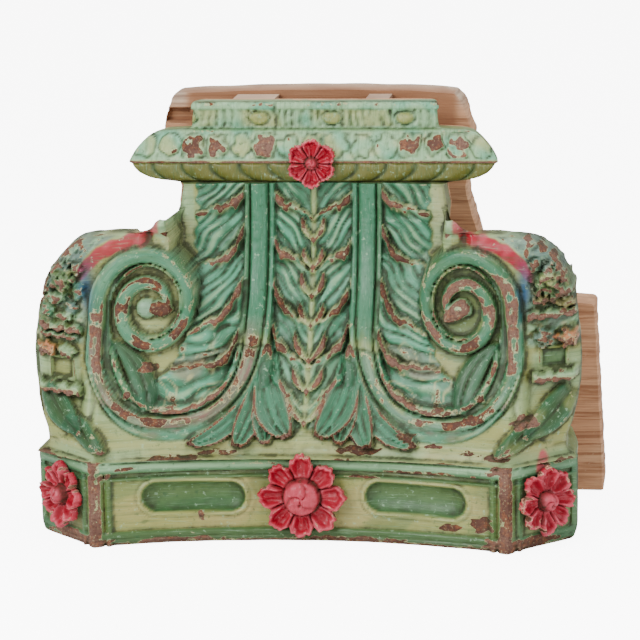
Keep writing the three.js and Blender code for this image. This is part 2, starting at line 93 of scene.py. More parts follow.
def linear(red, green, blue):
    # screen colour 0 to 255 to linear light
    c = np.array([red, green, blue]) / 255.0
    return np.where(c <= 0.04045, c / 12.92, ((c + 0.055) / 1.055) ** 2.4)


# Meshes from whole arrays

def gridFaces(rows, cols, start=0, wrapCols=False):
    # four corner numbers for each cell of a grid laid out row by row
    r = np.arange(rows - 1)[:, None]
    c = np.arange(cols if wrapCols else cols - 1)[None, :]
    c2 = (c + 1) % cols
    quads = np.stack([r * cols + c, r * cols + c2, (r + 1) * cols + c2, (r + 1) * cols + c], -1)
    return quads.reshape(-1, 4) + start


def meshPiece(name, points, faces, layers=None, sharp=50.0):
    # smooth mesh with its point layers, riding on the one body
    mesh = bpy.data.meshes.new(name)
    mesh.from_pydata(points.tolist(), [], faces)
    mesh.update()
    mesh.polygons.foreach_set("use_smooth", np.ones(len(mesh.polygons), bool))
    mesh.set_sharp_from_angle(angle=math.radians(sharp))
    for layer, values in (layers or {}).items():
        if values.ndim == 1:
            mesh.attributes.new(layer, "FLOAT", "POINT").data.foreach_set("value", values.astype(np.float32))
        elif layer == "flow":
            field = mesh.attributes.new(layer, "FLOAT_VECTOR", "POINT")
            field.data.foreach_set("vector", values.astype(np.float32).ravel())
        else:
            colors = np.ones((len(values), 4), np.float32)
            colors[:, :3] = values
            mesh.attributes.new(layer, "FLOAT_COLOR", "POINT").data.foreach_set("color", colors.ravel())
    piece = bpy.data.objects.new(name, mesh)
    bpy.context.scene.collection.objects.link(piece)
    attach(piece, "root")
    return piece


# The carved block, described by its depth behind the plinth's front corners over the front view, in mm

block = {
    "plinthTop": 102.0, "frontHalf": 243.0, "recess": 42.0, "coveHeight": 16.0, "neckTop": 402.0,
    "neckFront": 205.0, "bellFlare": 150.0, "innerHalf": 140.0, "innerStep": 2.0, "outerColumns": 84,
    "sideColumns": 9, "rowStep": 2.0, "backDrop": 47.0, "sideTaper": 19.0,
    "crownTaper": 9.0, "leftBulge": 4.5,
}
scroll = {
    "stem": 65.5, "eye": 182.0, "eyeLevel": 267.0, "eyeDepth": 90.0, "faceTurn": 0.26, "flare": 48.0,
    "sweepLevel": 133.0, "sweepOuter": 251.0, "floor": 17.0, "coilX": 186.0,
    "coilZ": 269.0, "stretch": 1.12, "turnAt": 262.0,
}
# radius of the coil's centre line at each quarter turn, from the outer side over the top
coilRadii = [58.5, 54.5, 40.0, 42.5, 29.5, 25.5, 21.5, 17.0]
# level, half width of the front view's outline
outline = np.array([
    (0, 312), (4, 316), (12, 319), (20, 320), (101, 320), (102.5, 317), (106, 309), (112, 307), (118, 307),
    (126, 308), (140, 314), (160, 319), (185, 323), (214, 324), (231, 323), (250, 320.5), (272, 319),
    (291, 316), (309, 310), (318, 304), (329, 295), (338, 286), (344, 278), (348.5, 270), (351, 262),
    (353, 252), (354, 240), (354.5, 228), (355, 211), (355.6, 196), (356.6, 189), (359, 185), (363, 181.5),
    (368, 178), (370, 175), (371.5, 172), (372.5, 162), (380, 160), (399, 157), (401.5, 158), (402.5, 170),
    (405, 184), (408, 197), (414, 209), (420, 215), (425.5, 218.5), (426.5, 220.5), (428, 222),
    (430, 221.5), (434, 219.5), (440, 216), (446, 211.5), (452, 206), (457, 200.5), (460, 196), (462, 190),
    (463, 183), (463.8, 166), (464.6, 152), (466, 149.5), (476, 148), (486, 147.5), (488, 149.5),
    (493, 149.5), (496, 147),
], float)
# level, depth of the top mouldings' front
crown = np.array([
    (400, 205), (402, 204), (404, 199), (409, 195), (415, 192.5), (421, 191), (425.5, 191.5), (427, 189.2),
    (428.5, 189.2), (430, 190), (434, 190.5), (440, 192.5), (448, 197), (456, 203), (461, 208), (463, 211),
    (464, 217), (465, 219), (476, 219.5), (484, 219.5), (487, 218.5), (488.5, 216.5), (493, 216.5),
    (496, 219),
], float)
# level, depth of the plinth's beads, grooves and field
plinthLines = np.array([
    (0, 9), (3, 5), (6, 2.4), (8, 4.2), (10, 2.0), (12.5, 0.8), (15, 2.2), (17, 6), (76.5, 6), (78.5, 2.6),
    (80.5, 2.6), (82, 7.5), (85, 7.5), (87, 2.4), (90, 0.6), (94, 0.4), (97, 1.6), (99, 4.6), (100.6, 1.0),
    (102, 1.4),
], float)
# distance from the middle, depth of the panels' upright edges and of the corner strip
plinthStiles = np.array([
    (0, 6), (221, 6), (223, 1.6), (225.5, 0.6), (227.5, 2.0), (229, 7.5), (230.6, 7.5), (232.4, 1.4),
    (241, 0.8), (246, 1.4), (249, 1.4), (250.5, 5.5), (253, 5.5), (254.5, 1.0), (257, 1.0), (259, 6),
    (312, 6), (314, 1.5), (318, 0.6), (320, 3.0),
], float)
# distance from the middle, level of the corner's upper edge with the horn beside the neck
crest = np.array([
    (0, 372.5), (158, 372.5), (174, 372.5), (180, 369), (184, 364), (188, 360), (194, 357), (203, 355.5),
    (214, 355), (240, 354), (252, 353), (262, 351), (270, 348.5), (278, 344), (286, 338), (295, 329),
    (304, 318), (310, 309), (316, 291), (321, 272),
], float)
# level, distance from the middle where the scroll's mass begins
massInner = np.array([
    (110, 130), (125, 107), (141, 100), (183, 107), (224, 133), (260, 137), (285, 139), (300, 144),
    (313, 151), (322, 158), (330, 161), (345, 159), (356, 161), (372, 163),
], float)


def profile(table, at):
    # straight lines between the table's points
    return np.interp(at, table[:, 0], table[:, 1])


def rowLevels():
    # levels of the rows, closer together where the profile turns sharply
    z = np.linspace(0.0, blockTall, 6000)
    density = np.ones_like(z) / block["rowStep"]
    for level, reach, extra in (
        (2, 3, 0.3), (16, 3, 0.3), (82, 6, 0.3), (101, 4, 0.7), (354, 7, 0.4), (354.6, 1.9, 3.6),
        (371.5, 1.4, 1.6), (403, 4, 0.8), (427, 3.0, 1.2), (463.6, 1.8, 1.6), (488, 3, 0.4),
    ):
        density += extra * hill(z - level, reach)
    count = np.concatenate([[0.0], np.cumsum((density[1:] + density[:-1]) * 0.5 * np.diff(z))])
    return np.interp(np.linspace(0.0, count[-1], int(round(count[-1]))), count, z)


def plinthFace(ax):
    # hollow arc over the front, then the corner slanted at 45 degrees
    arc = block["recess"] * (1.0 - np.minimum(1.0, ax / block["frontHalf"]) ** 2)
    return arc + np.maximum(0.0, ax - block["frontHalf"])


def bellFace(ax, z):
    # parabola from the plinth's edge back to the neck, hollow in plan, turned back past the corner
    foot = block["plinthTop"] + block["coveHeight"]
    t = np.clip((z - foot) / (block["neckTop"] - foot), 0.0, 1.0)
    inner = np.minimum(ax, block["frontHalf"])
    hollow = block["recess"] * (inner / block["frontHalf"]) ** 2
    return block["neckFront"] - block["bellFlare"] * (1.0 - t) ** 2 - hollow + (ax - inner)


def scrollFace(ax, z):
    # face of the scrolls, turned towards the middle and flaring forward below the eyes
    below = np.maximum(0.0, (scroll["eyeLevel"] - z) / (scroll["eyeLevel"] - scroll["sweepLevel"] + 2.0))
    turned = scroll["faceTurn"] * (ax - scroll["eye"])
    return scroll["eyeDepth"] - turned - scroll["flare"] * below ** 1.5


def bandRoute():
    # stem, sweep round the foot and the coil as one line, with points 2 mm apart
    stemFoot = mixOf(scroll["sweepLevel"], scroll["eyeLevel"], 0.85)
    middle = (scroll["stem"] + scroll["sweepOuter"]) / 2
    reach = (scroll["sweepOuter"] - scroll["stem"]) / 2
    a = np.linspace(0, math.pi, 60)[1:-6]
    flat = np.abs(np.cos(a)) ** 0.85 * np.sign(np.cos(a))
    sweepZ = stemFoot - (stemFoot - scroll["sweepLevel"]) * np.sin(a) ** 0.8
    sweepZ += (scroll["eyeLevel"] - stemFoot) * (a / math.pi) ** 4
    quarters = np.arange(len(coilRadii))
    turn = np.linspace(0, len(coilRadii) - 1.6, 160)
    bumps = np.polynomial.polynomial.polyfit(quarters, coilRadii, 5)
    r = mixOf(np.interp(turn, quarters, coilRadii), np.polynomial.polynomial.polyval(turn, bumps), 0.7)
    x = np.concatenate([[scroll["stem"]] * 2, middle - reach * flat,
                        scroll["coilX"] + r * np.cos(turn * math.pi / 2)])
    z = np.concatenate([[block["neckTop"] + 3, stemFoot], sweepZ,
                        scroll["coilZ"] + r * np.sin(turn * math.pi / 2) * scroll["stretch"]])
    far = np.concatenate([[0.0], np.cumsum(np.hypot(np.diff(x), np.diff(z)))])
    coilStart = 2 + len(a)
    quarterMarks = np.interp(np.arange(7), turn, far[coilStart:])
    marks = {"stemEnd": far[1], "bottom": far[2 + len(a) // 2], "coil": quarterMarks, "end": far[-1]}
    s = np.arange(0.0, far[-1], 2.0)
    soft = np.hanning(15)[1:-1] / np.hanning(15).sum()
    line = [np.convolve(np.pad(np.interp(s, far, v), 6, mode="edge"), soft, "valid") for v in (x, z)]
    return np.stack(line, 1), s, marks


def bandField(ax, z):
    # signed distance from the band's centre line, outer side positive, and length along it
    line, s, marks = bandRoute()
    tangent = np.gradient(line, axis=0)
    tangent /= np.linalg.norm(tangent, axis=1, keepdims=True)
    flat = np.stack([ax.ravel(), z.ravel()], 1)
    across = np.zeros(len(flat))
    along = np.zeros(len(flat))
    for start in range(0, len(flat), 4000):
        part = flat[start:start + 4000]
        gap = part[:, None, :] - line[None, :, :]
        d2 = (gap ** 2).sum(-1)
        near = d2.argmin(1)
        off = gap[np.arange(len(part)), near]
        t = tangent[near]
        side = np.sign(t[:, 0] * off[:, 1] - t[:, 1] * off[:, 0])
        across[start:start + 4000] = -side * np.sqrt(d2[np.arange(len(part)), near])
        along[start:start + 4000] = s[near]
    return across.reshape(ax.shape), along.reshape(ax.shape), marks


# What the band's section is at stations along it: the main rib, two side ribs and the body's edges
bandStations = {
    "main": [0, 0, -5, 1, -0.5, 2.5, 1.5, 1, 0, 0, 0, 0],
    "mainHalf": [10, 10, 6.5, 6.5, 9, 8.2, 6, 6.5, 8.5, 7.8, 4.8, 1.5],
    "second": [-14.5, -14.5, -16.5, -19.5, -21, -8.5, -6.5, -8, -7.5, -6.5, -3.5, -1],
    "secondHalf": [3, 3, 4.4, 4.6, 2.2, 2.2, 2.0, 1.8, 1.2, 1.2, 1, 1],
    "third": [16, 16, 7.5, 10, 9, 10.5, 8, 8.5, 8, 7, 4, 1],
    "thirdHalf": [3.2, 3.2, 5.2, 2.6, 1.5, 1.2, 1.2, 1.2, 1.2, 1.2, 1, 1],
    "rise": [12, 12, 16, 17, 17, 16, 15, 15, 14, 13, 11, 8],
}


def bandShape(across, along, marks):
    # ribs and body of the band at each place, with the height it reaches
    coil = marks["coil"]
    stations = [0, marks["stemEnd"] - 10, marks["bottom"], (marks["bottom"] + coil[0]) * 0.5,
                coil[0], coil[1], coil[2], coil[3], coil[4], coil[5], coil[6] - 4, marks["end"]]
    at = {key: np.interp(along, stations, values) for key, values in bandStations.items()}
    low = at["second"] - at["secondHalf"]
    high = at["third"] + at["thirdHalf"]
    mask = ease(low - 2.2, low + 0.4, across) * ease(high + 2.6, high - 0.4, across)
    main = rib(across - at["main"], at["mainHalf"])
    second = rib(across - at["second"], at["secondHalf"])
    third = rib(across - at["third"], at["thirdHalf"])
    height = np.maximum.reduce([
        0.5 * (main > 0) + 0.5 * main ** 0.6, 0.46 * (second > 0) + 0.3 * second,
        0.46 * (third > 0) + 0.3 * third, np.full(across.shape, 0.38)])
    return height * mask * at["rise"], mask, main, second, third


def tongue(x, z, root, tip, half, bow=0.0, early=0.9):
    # long leaf shape: share along it, share across it, and its mask
    dx, dz = tip[0] - root[0], tip[1] - root[1]
    length = math.hypot(dx, dz)
    t = ((x - root[0]) * dx + (z - root[1]) * dz) / length ** 2
    v = ((x - root[0]) * (-dz) + (z - root[1]) * dx) / length
    tc = np.clip(t, 0.0, 1.0)
    v = v - bow * length * 4 * tc * (1 - tc)
    wide = half * np.clip(np.sin(math.pi * np.clip(0.12 + 0.88 * tc ** early, 0, 1)), 0.0, 1.0) ** 0.62
    u = v / (wide + 1e-3)
    mask = ease(1.08, 0.94, np.abs(u)) * ease(-0.03, 0.05, t) * ease(1.01, 0.95, t)
    return tc, u, mask


# Upper edges of the leaves' lobes from the tip beside the stem to the root: distance from the middle, level
outerEdges = [
    [(60, 452), (160, 440)],
    [(80, 402), (89, 391), (101, 381), (119, 375), (136, 369), (160, 366)],
    [(80, 360), (87, 347), (94, 331), (109, 317), (132, 310), (160, 308)],
    [(80, 300), (89, 285), (96, 268), (108, 255), (126, 247), (139, 238), (160, 230)],
    [(80, 246), (87, 231), (96, 215), (111, 203), (133, 202), (156, 200), (190, 198)],
    [(80, 205), (92, 184), (101, 174), (117, 165), (132, 157), (151, 152), (190, 156), (230, 160)],
    [(80, 168), (96, 150), (110, 140), (150, 133), (230, 130)],
]
middleEdges = [
    [(0, 430), (60, 445)],
    [(0, 360), (15, 373), (30, 380), (44, 390), (56, 402)],
    [(0, 299), (8, 304), (20, 317), (37, 324), (46, 338), (56, 352)],
    [(0, 240), (18, 249), (34, 266), (44, 281), (48, 300), (56, 316)],
    [(0, 196), (12, 203), (26, 213), (38, 226), (46, 244), (56, 262)],
    [(0, 152), (7, 156), (21, 171), (38, 188), (46, 203), (56, 222)],
    [(0, 112), (60, 122)],
]
leafSide = np.array([
    (130, 226), (150, 214), (165, 200), (180, 184), (192, 166), (201, 157), (213, 153), (230, 146),
    (244, 140), (262, 138), (280, 136), (290, 140), (300, 144), (313, 145), (322, 139), (332, 144),
    (352, 141), (366, 141), (374, 138), (380, 141), (404, 140),
], float)


def shingles(ax, z, edges, waviness, tipShare):
    # overlapping lobes: height is greatest under each lobe's worn upper edge and sinks to the next one,
    # and the edge swells and curls forward towards the lobe's tip
    height = np.zeros(ax.shape)
    lip = np.zeros(ax.shape)
    share = np.zeros(ax.shape)
    drop = np.zeros(ax.shape)
    wave = waviness * (np.sin(ax * 0.33 + z * 0.05) + 0.6 * np.sin(ax * 0.71 + 1.3))
    levels = [np.interp(ax, [p[0] for p in e], [p[1] for p in e]) + wave for e in edges]
    for upper, lower in zip(levels[:-1], levels[1:]):
        gap = np.maximum(upper - lower, 6.0)
        down = upper - z
        f = down / gap
        inside = (f >= 0.0) & (f < 1.0)
        body = 2.0 + 10.5 * (1.0 - f) ** 0.8
        thick = 3.3 + 4.8 * tipShare
        roll = (3.0 + 8.5 * tipShare) * hill(down - thick, thick * 0.9)
        under = -4.0 * tipShare * hill(down - 3.0 * thick, thick)
        start = ease(-0.2, 2.2, down)
        height = np.where(inside, (body + roll + under) * mixOf(0.3, 1.0, start), height)
        lip = np.where(inside, hill(down - thick * 0.9, thick * 1.05), lip)
        share = np.where(inside, f, share)
        drop = np.where(inside, down, drop)
    return height, lip, share, drop


paint = {
    "olive": linear(140, 142, 76), "pale": linear(156, 160, 98), "turquoise": linear(56, 116, 84),
    "verdigris": linear(92, 162, 130), "deep": linear(14, 62, 30), "hollow": linear(52, 92, 44),
    "mauve": linear(120, 80, 74), "blue": linear(34, 78, 112), "red": linear(150, 0, 30),
    "pink": linear(190, 72, 86), "rose": linear(166, 42, 62), "salmon": linear(196, 104, 66),
    "oliveDark": linear(96, 96, 38), "mint": linear(138, 174, 130), "sage": linear(82, 106, 54),
    "cream": linear(190, 184, 128), "tan": linear(164, 146, 92), "blueGrey": linear(92, 118, 112),
}


class Ground:
    # depth, paint, wear, dirt with painted shade, and flow of the block's front, gathered part by part
    def __init__(self, x, z):
        self.x, self.z, self.ax = x, z, np.abs(x)
        self.y = np.zeros(x.shape)
        self.color = np.tile(paint["olive"], x.shape + (1,))
        self.wear = np.zeros(x.shape)
        self.dirtAndShade = np.zeros(x.shape)
        self.flow = np.stack([z, x * 0.5], -1)

    def tint(self, name, mask):
        # mix a paint over the colour by the mask
        self.color = mixOf(self.color, paint[name], np.clip(mask, 0, 1)[..., None])

    def bare(self, mask):
        # worn through to the wood where the mask says so, if it isn't already
        self.wear = np.maximum(self.wear, mask)

    def soilAndShade(self, mask):
        # dirt and painted shade, if there isn't more already
        self.dirtAndShade = np.maximum(self.dirtAndShade, mask)

    def carve(self, face, mask):
        # bring the surface forward to a face, under a mask
        self.y = mixOf(self.y, np.minimum(self.y, face), mask)

    def lay(self, mask, across, along):
        # direction the paint's streaks follow under the mask
        self.flow = mixOf(self.flow, np.stack([across, along], -1), (mask > 0.5)[..., None])


# The two long hollows in the plinth's front
hollows = {
    "centres": (-128.0, 133.5), "straight": 42.0, "level": 54.5, "tilt": 0.02, "radius": 18.5, "deep": 12.0,
}


def plinthPart(g):
    # beads, panels and long hollows of the plinth, below its top edge
    z, x, ax = g.z, g.x, g.ax
    on = ease(block["plinthTop"] + 0.2, block["plinthTop"] - 0.2, z)
    lines = np.minimum(profile(plinthLines, z), profile(plinthStiles, ax))
    hollow = np.zeros(x.shape)
    ring = np.zeros(x.shape)
    d0 = np.full(x.shape, 99.0)
    for centre in hollows["centres"]:
        level = hollows["level"] - hollows["tilt"] * (x - centre)
        d = np.hypot(np.maximum(np.abs(x - centre) - hollows["straight"], 0.0), z - level)
        d0 = np.minimum(d0, d)
        hollow = np.maximum(hollow, np.clip(1.0 - (d / hollows["radius"]) ** 2, 0.0, 1.0) ** 0.7)
        ring = np.maximum(ring, hill(d - 20.8, 2.0) - 0.55 * hill(d - 24.6, 1.6) + 0.4 * hill(d - 28.0, 1.6))
    field = lines + hollows["deep"] * hollow - 2.4 * ring * (ax < 218)
    y = plinthFace(ax) + field + 0.7 * lumps(x, z, 70, 3) + 0.5
    g.y = mixOf(g.y, y, on)
    inField = ease(5.4, 5.9, lines) * ease(6.6, 6.1, lines) * on
    g.tint("sage", on)
    g.tint("olive", inField)
    g.tint("tan", inField * 0.5 * ease(-0.2, 0.6, lumps(x, z, 120, 14)))
    g.tint("sage", inField * 0.5 * ease(0.1, 0.7, lumps(x, z * 2, 90, 15)))
    g.tint("deep", on * 0.7 * (ease(79, 81, z) * ease(88, 84, z)))
    g.tint("turquoise", on * 0.55 * ease(85, 89, z))
    g.tint("mint", on * 0.75 * ease(89, 93, z))
    g.tint("pale", on * ease(0.2, 0.7, hill(d0 - 20.8, 2.6)) * 0.5)
    g.tint("hollow", on * ease(0.03, 0.25, hollow))
    sunk = on * ease(0.05, 0.3, hollow)
    g.tint("deep", sunk * (0.25 + 0.2 * (x > 0)) * ease(0.3, -0.6, lumps(x, z * 3, 60, 95)))
    g.tint("sage", sunk * ease(52, 72, z + 0.08 * ax) * 0.75)
    g.tint("deep", on * 0.45 * ease(20, 14, z))
    strip = ease(231, 233, ax) * ease(249.5, 247.5, ax)
    g.bare(on * strip * (0.75 + 0.25 * lumps(x, z, 30, 5)))
    g.bare(on * (0.9 * ease(7, 1, z) + 0.25 * hill(z - 9, 4)))
    long = ease(0.0, 0.6, lumps(x, z * 2, 90, 6))
    g.bare(on * (0.15 + 0.5 * long) * ease(99, 101.5, z))
    side = on * ease(250, 258, ax)
    g.tint("turquoise", side * 0.35)


def groundPart(g):
    # cove, bell, the scrolls' masses, the slanted corners and the neck
    z, x, ax = g.z, g.x, g.ax
    above = ease(block["plinthTop"] - 0.2, block["plinthTop"] + 0.2, z)
    bell = bellFace(ax, z)
    floor = scrollFace(ax, z) + scroll["floor"]
    share = (z - 110.0) / 242.0
    setback = mixOf(20.0, 40.0, ease(0.04, 0.3, share))
    turnAt = scroll["turnAt"]
    slant = np.maximum(scrollFace(turnAt, z) + scroll["floor"], turnAt - block["frontHalf"] + setback * 1.414)
    corner = slant + (ax - turnAt) * 0.45
    mass = mixOf(floor, corner, ease(252, 266, ax))
    top = profile(crest, ax)
    mass = mass + 20.0 * rolled(z - (top - 20.0), 20.0) * ease(184, 204, ax)
    horn = ease(196, 182, ax) * ease(336, 352, z)
    hornLean = 0.06 * (ax - 170.0) ** 2 - 9.0 * ease(350, 368, z)
    mass = mass + horn * (10.0 * rolled(z - (top - 9.0), 9.0) + hornLean)
    half = profile(outline, z)
    mass = mass + 9.0 * rolled(ax - (half - 12.0), 12.0)
    inner = profile(massInner, z)
    weight = ease(inner - 3.0, inner + 3.0, ax) * ease(top + 0.7, top - 0.7, z)
    neckRim = (ax - (half - 9.0)) * ease(371, 373, z)
    bell = bell + 9.0 * rolled(neckRim, 9.0)
    ground = mixOf(bell, np.minimum(bell, mass), weight)
    t = np.clip((z - block["plinthTop"]) / block["coveHeight"], 0.0, 1.0)
    cove = plinthFace(ax) + 2.0 + 11.0 * np.sqrt(np.clip(1.0 - (1.0 - t) ** 2, 0, 1))
    ground = mixOf(cove, ground, ease(116.5, 119.5, z))
    g.y = mixOf(g.y, ground + 0.8 * lumps(x, z, 60, 8), above)
    g.tint("olive", above)
    g.tint("mint", above * 0.45 * ease(-0.1, 0.8, lumps(x, z, 90, 16)))
    g.tint("pale", above * ease(126, 120, z) * 0.6)
    g.tint("sage", above * 0.5 * hill(z - 121, 3))
    g.tint("deep", above * 0.8 * ease(60, 40, ax) * ease(130, 170, z))
    strip = above * ease(300, 360, z) * ease(142, 146, ax) * ease(174, 170, ax)
    g.tint("mint", strip * 0.55)
    g.tint("tan", strip * 0.45 * ease(-0.5, 0.6, lumps(x, z, 50, 90)))
    g.tint("sage", strip * 0.5 * ease(396, 402, z))
    g.bare(above * (0.15 + 0.4 * ease(0.2, 0.9, lumps(x, z * 2, 90, 6))) * ease(105, 102, z))
    g.bare(above * 0.4 * hill(z - 112, 5.0) * ease(0.3, 0.9, lumps(x, z * 3, 70, 13)))
    g.tint("pale", above * 0.6 * ease(128, 118, z))
    g.tint("mint", above * 0.5 * ease(118, 108, z) * ease(-0.3, 0.6, lumps(x, z, 110, 19)))
    g.tint("tan", above * 0.3 * ease(135, 105, z) * ease(0.1, 0.8, lumps(x, z, 80, 18)))
    return ground


# Worn places along the coil: quarter turn, shift from it, reach, strength
coilWear = [
    (0, -42, 46, 0.85), (1, -30, 14, 0.35), (2, 34, 16, 0.7), (3, 8, 20, 0.75), (4, 6, 22, 0.8),
    (5, 4, 16, 0.7), (6, 0, 10, 0.6),
]
rightCoilWear = [(0, 12, 46), (5, 18, 40)]


def bandPart(g):
    # stems, sweeps and coils over the ground
    z, ax = g.z, g.ax
    across, along, marks = bandField(ax, z)
    height, mask, main, second, third = bandShape(across, along, marks)
    toSweep = ease(marks["stemEnd"] - 30, marks["stemEnd"] + 45, along)
    base = mixOf(bellFace(ax, z), scrollFace(ax, z) + scroll["floor"], toSweep)
    mask = mask * ease(404, 401, z) * ease(block["plinthTop"], block["plinthTop"] + 3, z)
    worn = 0.7 * lumps(along, across * 3, 46, 21) + 0.3 * lumps(along, across, 14, 22)
    face = base - height - 0.5 * worn * mask
    g.y = mixOf(g.y, np.minimum(g.y + 4 * (1 - mask), face), mask)
    g.lay(mask, across, along)
    inSweep = ease(marks["stemEnd"] - 6, marks["stemEnd"] + 20, along)
    sweepOnly = inSweep * ease(marks["coil"][0] + 10, marks["coil"][0] - 50, along)
    g.tint("turquoise", mask)
    g.tint("deep", mask * 0.8 * ease(0.45, 0.1, np.maximum.reduce([main, second, third])))
    g.tint("sage", mask * 0.35 * second)
    g.tint("deep", mask * 0.14 * (1 - inSweep))
    onRight = ease(-5, 5, g.x)
    g.tint("mauve", mask * ease(0.35, 0.7, main) * sweepOnly * (0.75 + 0.35 * lumps(along, across, 50, 25))
           * (1 - 0.8 * onRight))
    patches = ease(0.0, 0.6, lumps(along, across, 40, 26))
    g.tint("mauve", mask * ease(0.3, 0.7, third) * sweepOnly * patches * 0.7)
    g.bare(mask * ease(0.4, 0.9, second) * inSweep * (0.3 + 0.25 * lumps(along, across, 36, 27)))
    onCoil = ease(marks["coil"][0] - 50, marks["coil"][0] + 20, along)
    rough = 0.7 + 0.5 * lumps(along, across, 26, 24)
    patchy = 0.62 * hill(along - (marks["bottom"] + 20), 60)
    for quarter, shift, reach, much in coilWear:
        patchy = np.maximum(patchy, much * hill(along - (marks["coil"][quarter] + shift), reach))
    for quarter, shift, reach in rightCoilWear:
        patchy = np.maximum(patchy, 0.8 * hill(along - (marks["coil"][quarter] + shift), reach) * onRight)
    g.bare(mask * ease(0.35, 0.8, main) * rough * (
        0.08 + inSweep * np.maximum(patchy, mixOf((0.5 + 0.2 * worn) * (1 - 0.45 * onRight), 0.0, onCoil))))
    g.tint("cream", mask * inSweep * 0.5 * hill(across - 9.5, 1.2) * ease(0.0, 0.5, worn))
    inCoil = rib(np.hypot(ax - 186, (z - 268) / 1.12), 56) > 0
    g.tint("pale", (1 - mask) * inCoil * 0.75 * (1 - onRight))
    between = ease(150, 168, z) * ease(330, 300, z) * ease(150, 165, ax) * ease(252, 244, ax)
    g.tint("pale", (1 - mask) * between * 0.7 * (1 - onRight))
    g.tint("hollow", (1 - mask) * inCoil * 0.6 * onRight)
    bands = lumps(along * 0.12, across, 7, 74)
    g.tint("sage", mask * inSweep * ease(0.0, 0.7, bands) * 0.55)
    g.tint("mint", mask * inSweep * ease(0.0, 0.8, -bands) * 0.35)
    g.tint("deep", mask * onCoil * onRight * 0.5)
    g.tint("sage", mask * onCoil * onRight * 0.4 * ease(-0.2, 0.6, lumps(along, across * 2, 40, 86)))
    g.tint("pale", mask * inSweep * 0.6 * hill(across + 8.0, 1.6) * ease(-0.2, 0.4, worn))
    coilMask = ease(marks["coil"][0] - 60, marks["coil"][0], along)
    g.tint("turquoise", mask * coilMask * ease(0.5, 0.9, main) * 0.5)
    eyeX, eyeZ = scroll["eye"] + 7, scroll["eyeLevel"]
    d = np.hypot(ax - eyeX, z - eyeZ)
    ball = rib(d, mixOf(12.5, 8.0, onRight))
    lensU, lens = tongue(g.x, z, (-(eyeX - 4), eyeZ + 1), (-159, 264), 9.5, 0.0, 1.1)[1:]
    otherU, other = tongue(g.x, z, (192, 276), (162, 253), 10.5, 0.0, 0.9)[1:]
    lens, lensU = np.maximum(lens, other), np.where(other > 0, otherU, lensU)
    eye = np.maximum(13.0 * ball, lens * (9 + 5 * rib(lensU, 1.0)))
    face = scrollFace(ax, z) + scroll["floor"] - eye
    on = ease(0.1, 1.0, eye)
    g.y = np.where(on > 0, np.minimum(g.y, mixOf(g.y, face, on)), g.y)
    g.tint("mint", on)
    g.tint("blue", ease(0.3, 0.9, ball) * 0.25)
    g.bare(lens * 0.75)
    return across, along, marks, mask


leaves = {
    "outer": {
        "edges": outerEdges, "wave": 1.1, "foldDepth": 3.3, "shade": 0.55, "chalk": 0.75, "rim": 0.85,
        "worn": (0.42, 0.3), "seeds": (38, 70, 35), "inner": 83.0,
    },
    "middle": {
        "edges": middleEdges, "wave": 1.0, "foldDepth": 3.2, "shade": 0.5, "chalk": 0.7, "rim": 0.8,
        "worn": (0.18, 0.5), "seeds": (39, 73, 36), "half": 46.0,
    },
}


# Worn bracts up the stalk: level, height, width
bracts = [
    (336, 26, 11), (304, 22, 10), (272, 26, 12), (240, 22, 13), (202, 30, 17), (171, 24, 17), (140, 28, 21),
]


def leafFolds(g, leaf, mask, toTip, phase, base, hollow, extra):
    # lobes one over another with folds across them: the fold is the root of a sine's size along its phase
    z, ax = g.z, g.ax
    height, lip, share, down = shingles(ax, z, leaf["edges"], leaf["wave"], toTip)
    raggedSeed, patchSeed, streakSeed = leaf["seeds"]
    fold = np.abs(np.sin(phase * math.pi)) ** 0.6
    ragged = lumps(g.x, z, 15, raggedSeed)
    body = height * 0.85 + (leaf["foldDepth"] * (fold - 0.5) + 0.7 * ragged) * (1 - lip) + 1.6 * ragged * lip
    body = body - hollow * (1 - lip)
    g.carve(base + 3.0 - body, mask)
    g.lay(mask, phase * 12, ax)
    g.tint("turquoise", mask)
    # painted shade: darker in the folds' grooves and towards each lobe's lower edge, in the gap above the
    # next lobe
    g.tint("deep", mask * (leaf["shade"] * ease(0.55, 1.0, share) + 0.55 * ease(0.5, 0.12, fold)))
    # chalky paint with a painted highlight on the fold crests
    g.tint("verdigris", mask * 0.75 * ease(0.6, 1, fold) * ease(-0.5, 0.4, lumps(g.x, z, 60, patchSeed)))
    streak = ease(-0.2, 0.6, lumps(phase * 9, ax, 40, streakSeed))
    g.tint("mint", mask * leaf["chalk"] * ease(0.8, 1, fold) * streak)
    # cream along each lip's top edge: worn paint with a painted highlight
    g.tint("cream", mask * leaf["rim"] * hill(down - 1.0 - 2.0 * ragged, 2.2))
    g.tint("tan", mask * 0.75 * hill(down - 9.5 - 2.0 * ragged, 3.2) * toTip)
    g.tint(extra[0], mask * extra[1])
    # painted shadow under each curled lip, stronger towards the tip
    g.tint("deep", mask * 0.7 * hill(down - 15.0 - 2.0 * ragged, 4.0) * toTip)
    g.bare(mask * lip * (leaf["worn"][0] + leaf["worn"][1] * toTip + 0.38 * ragged))


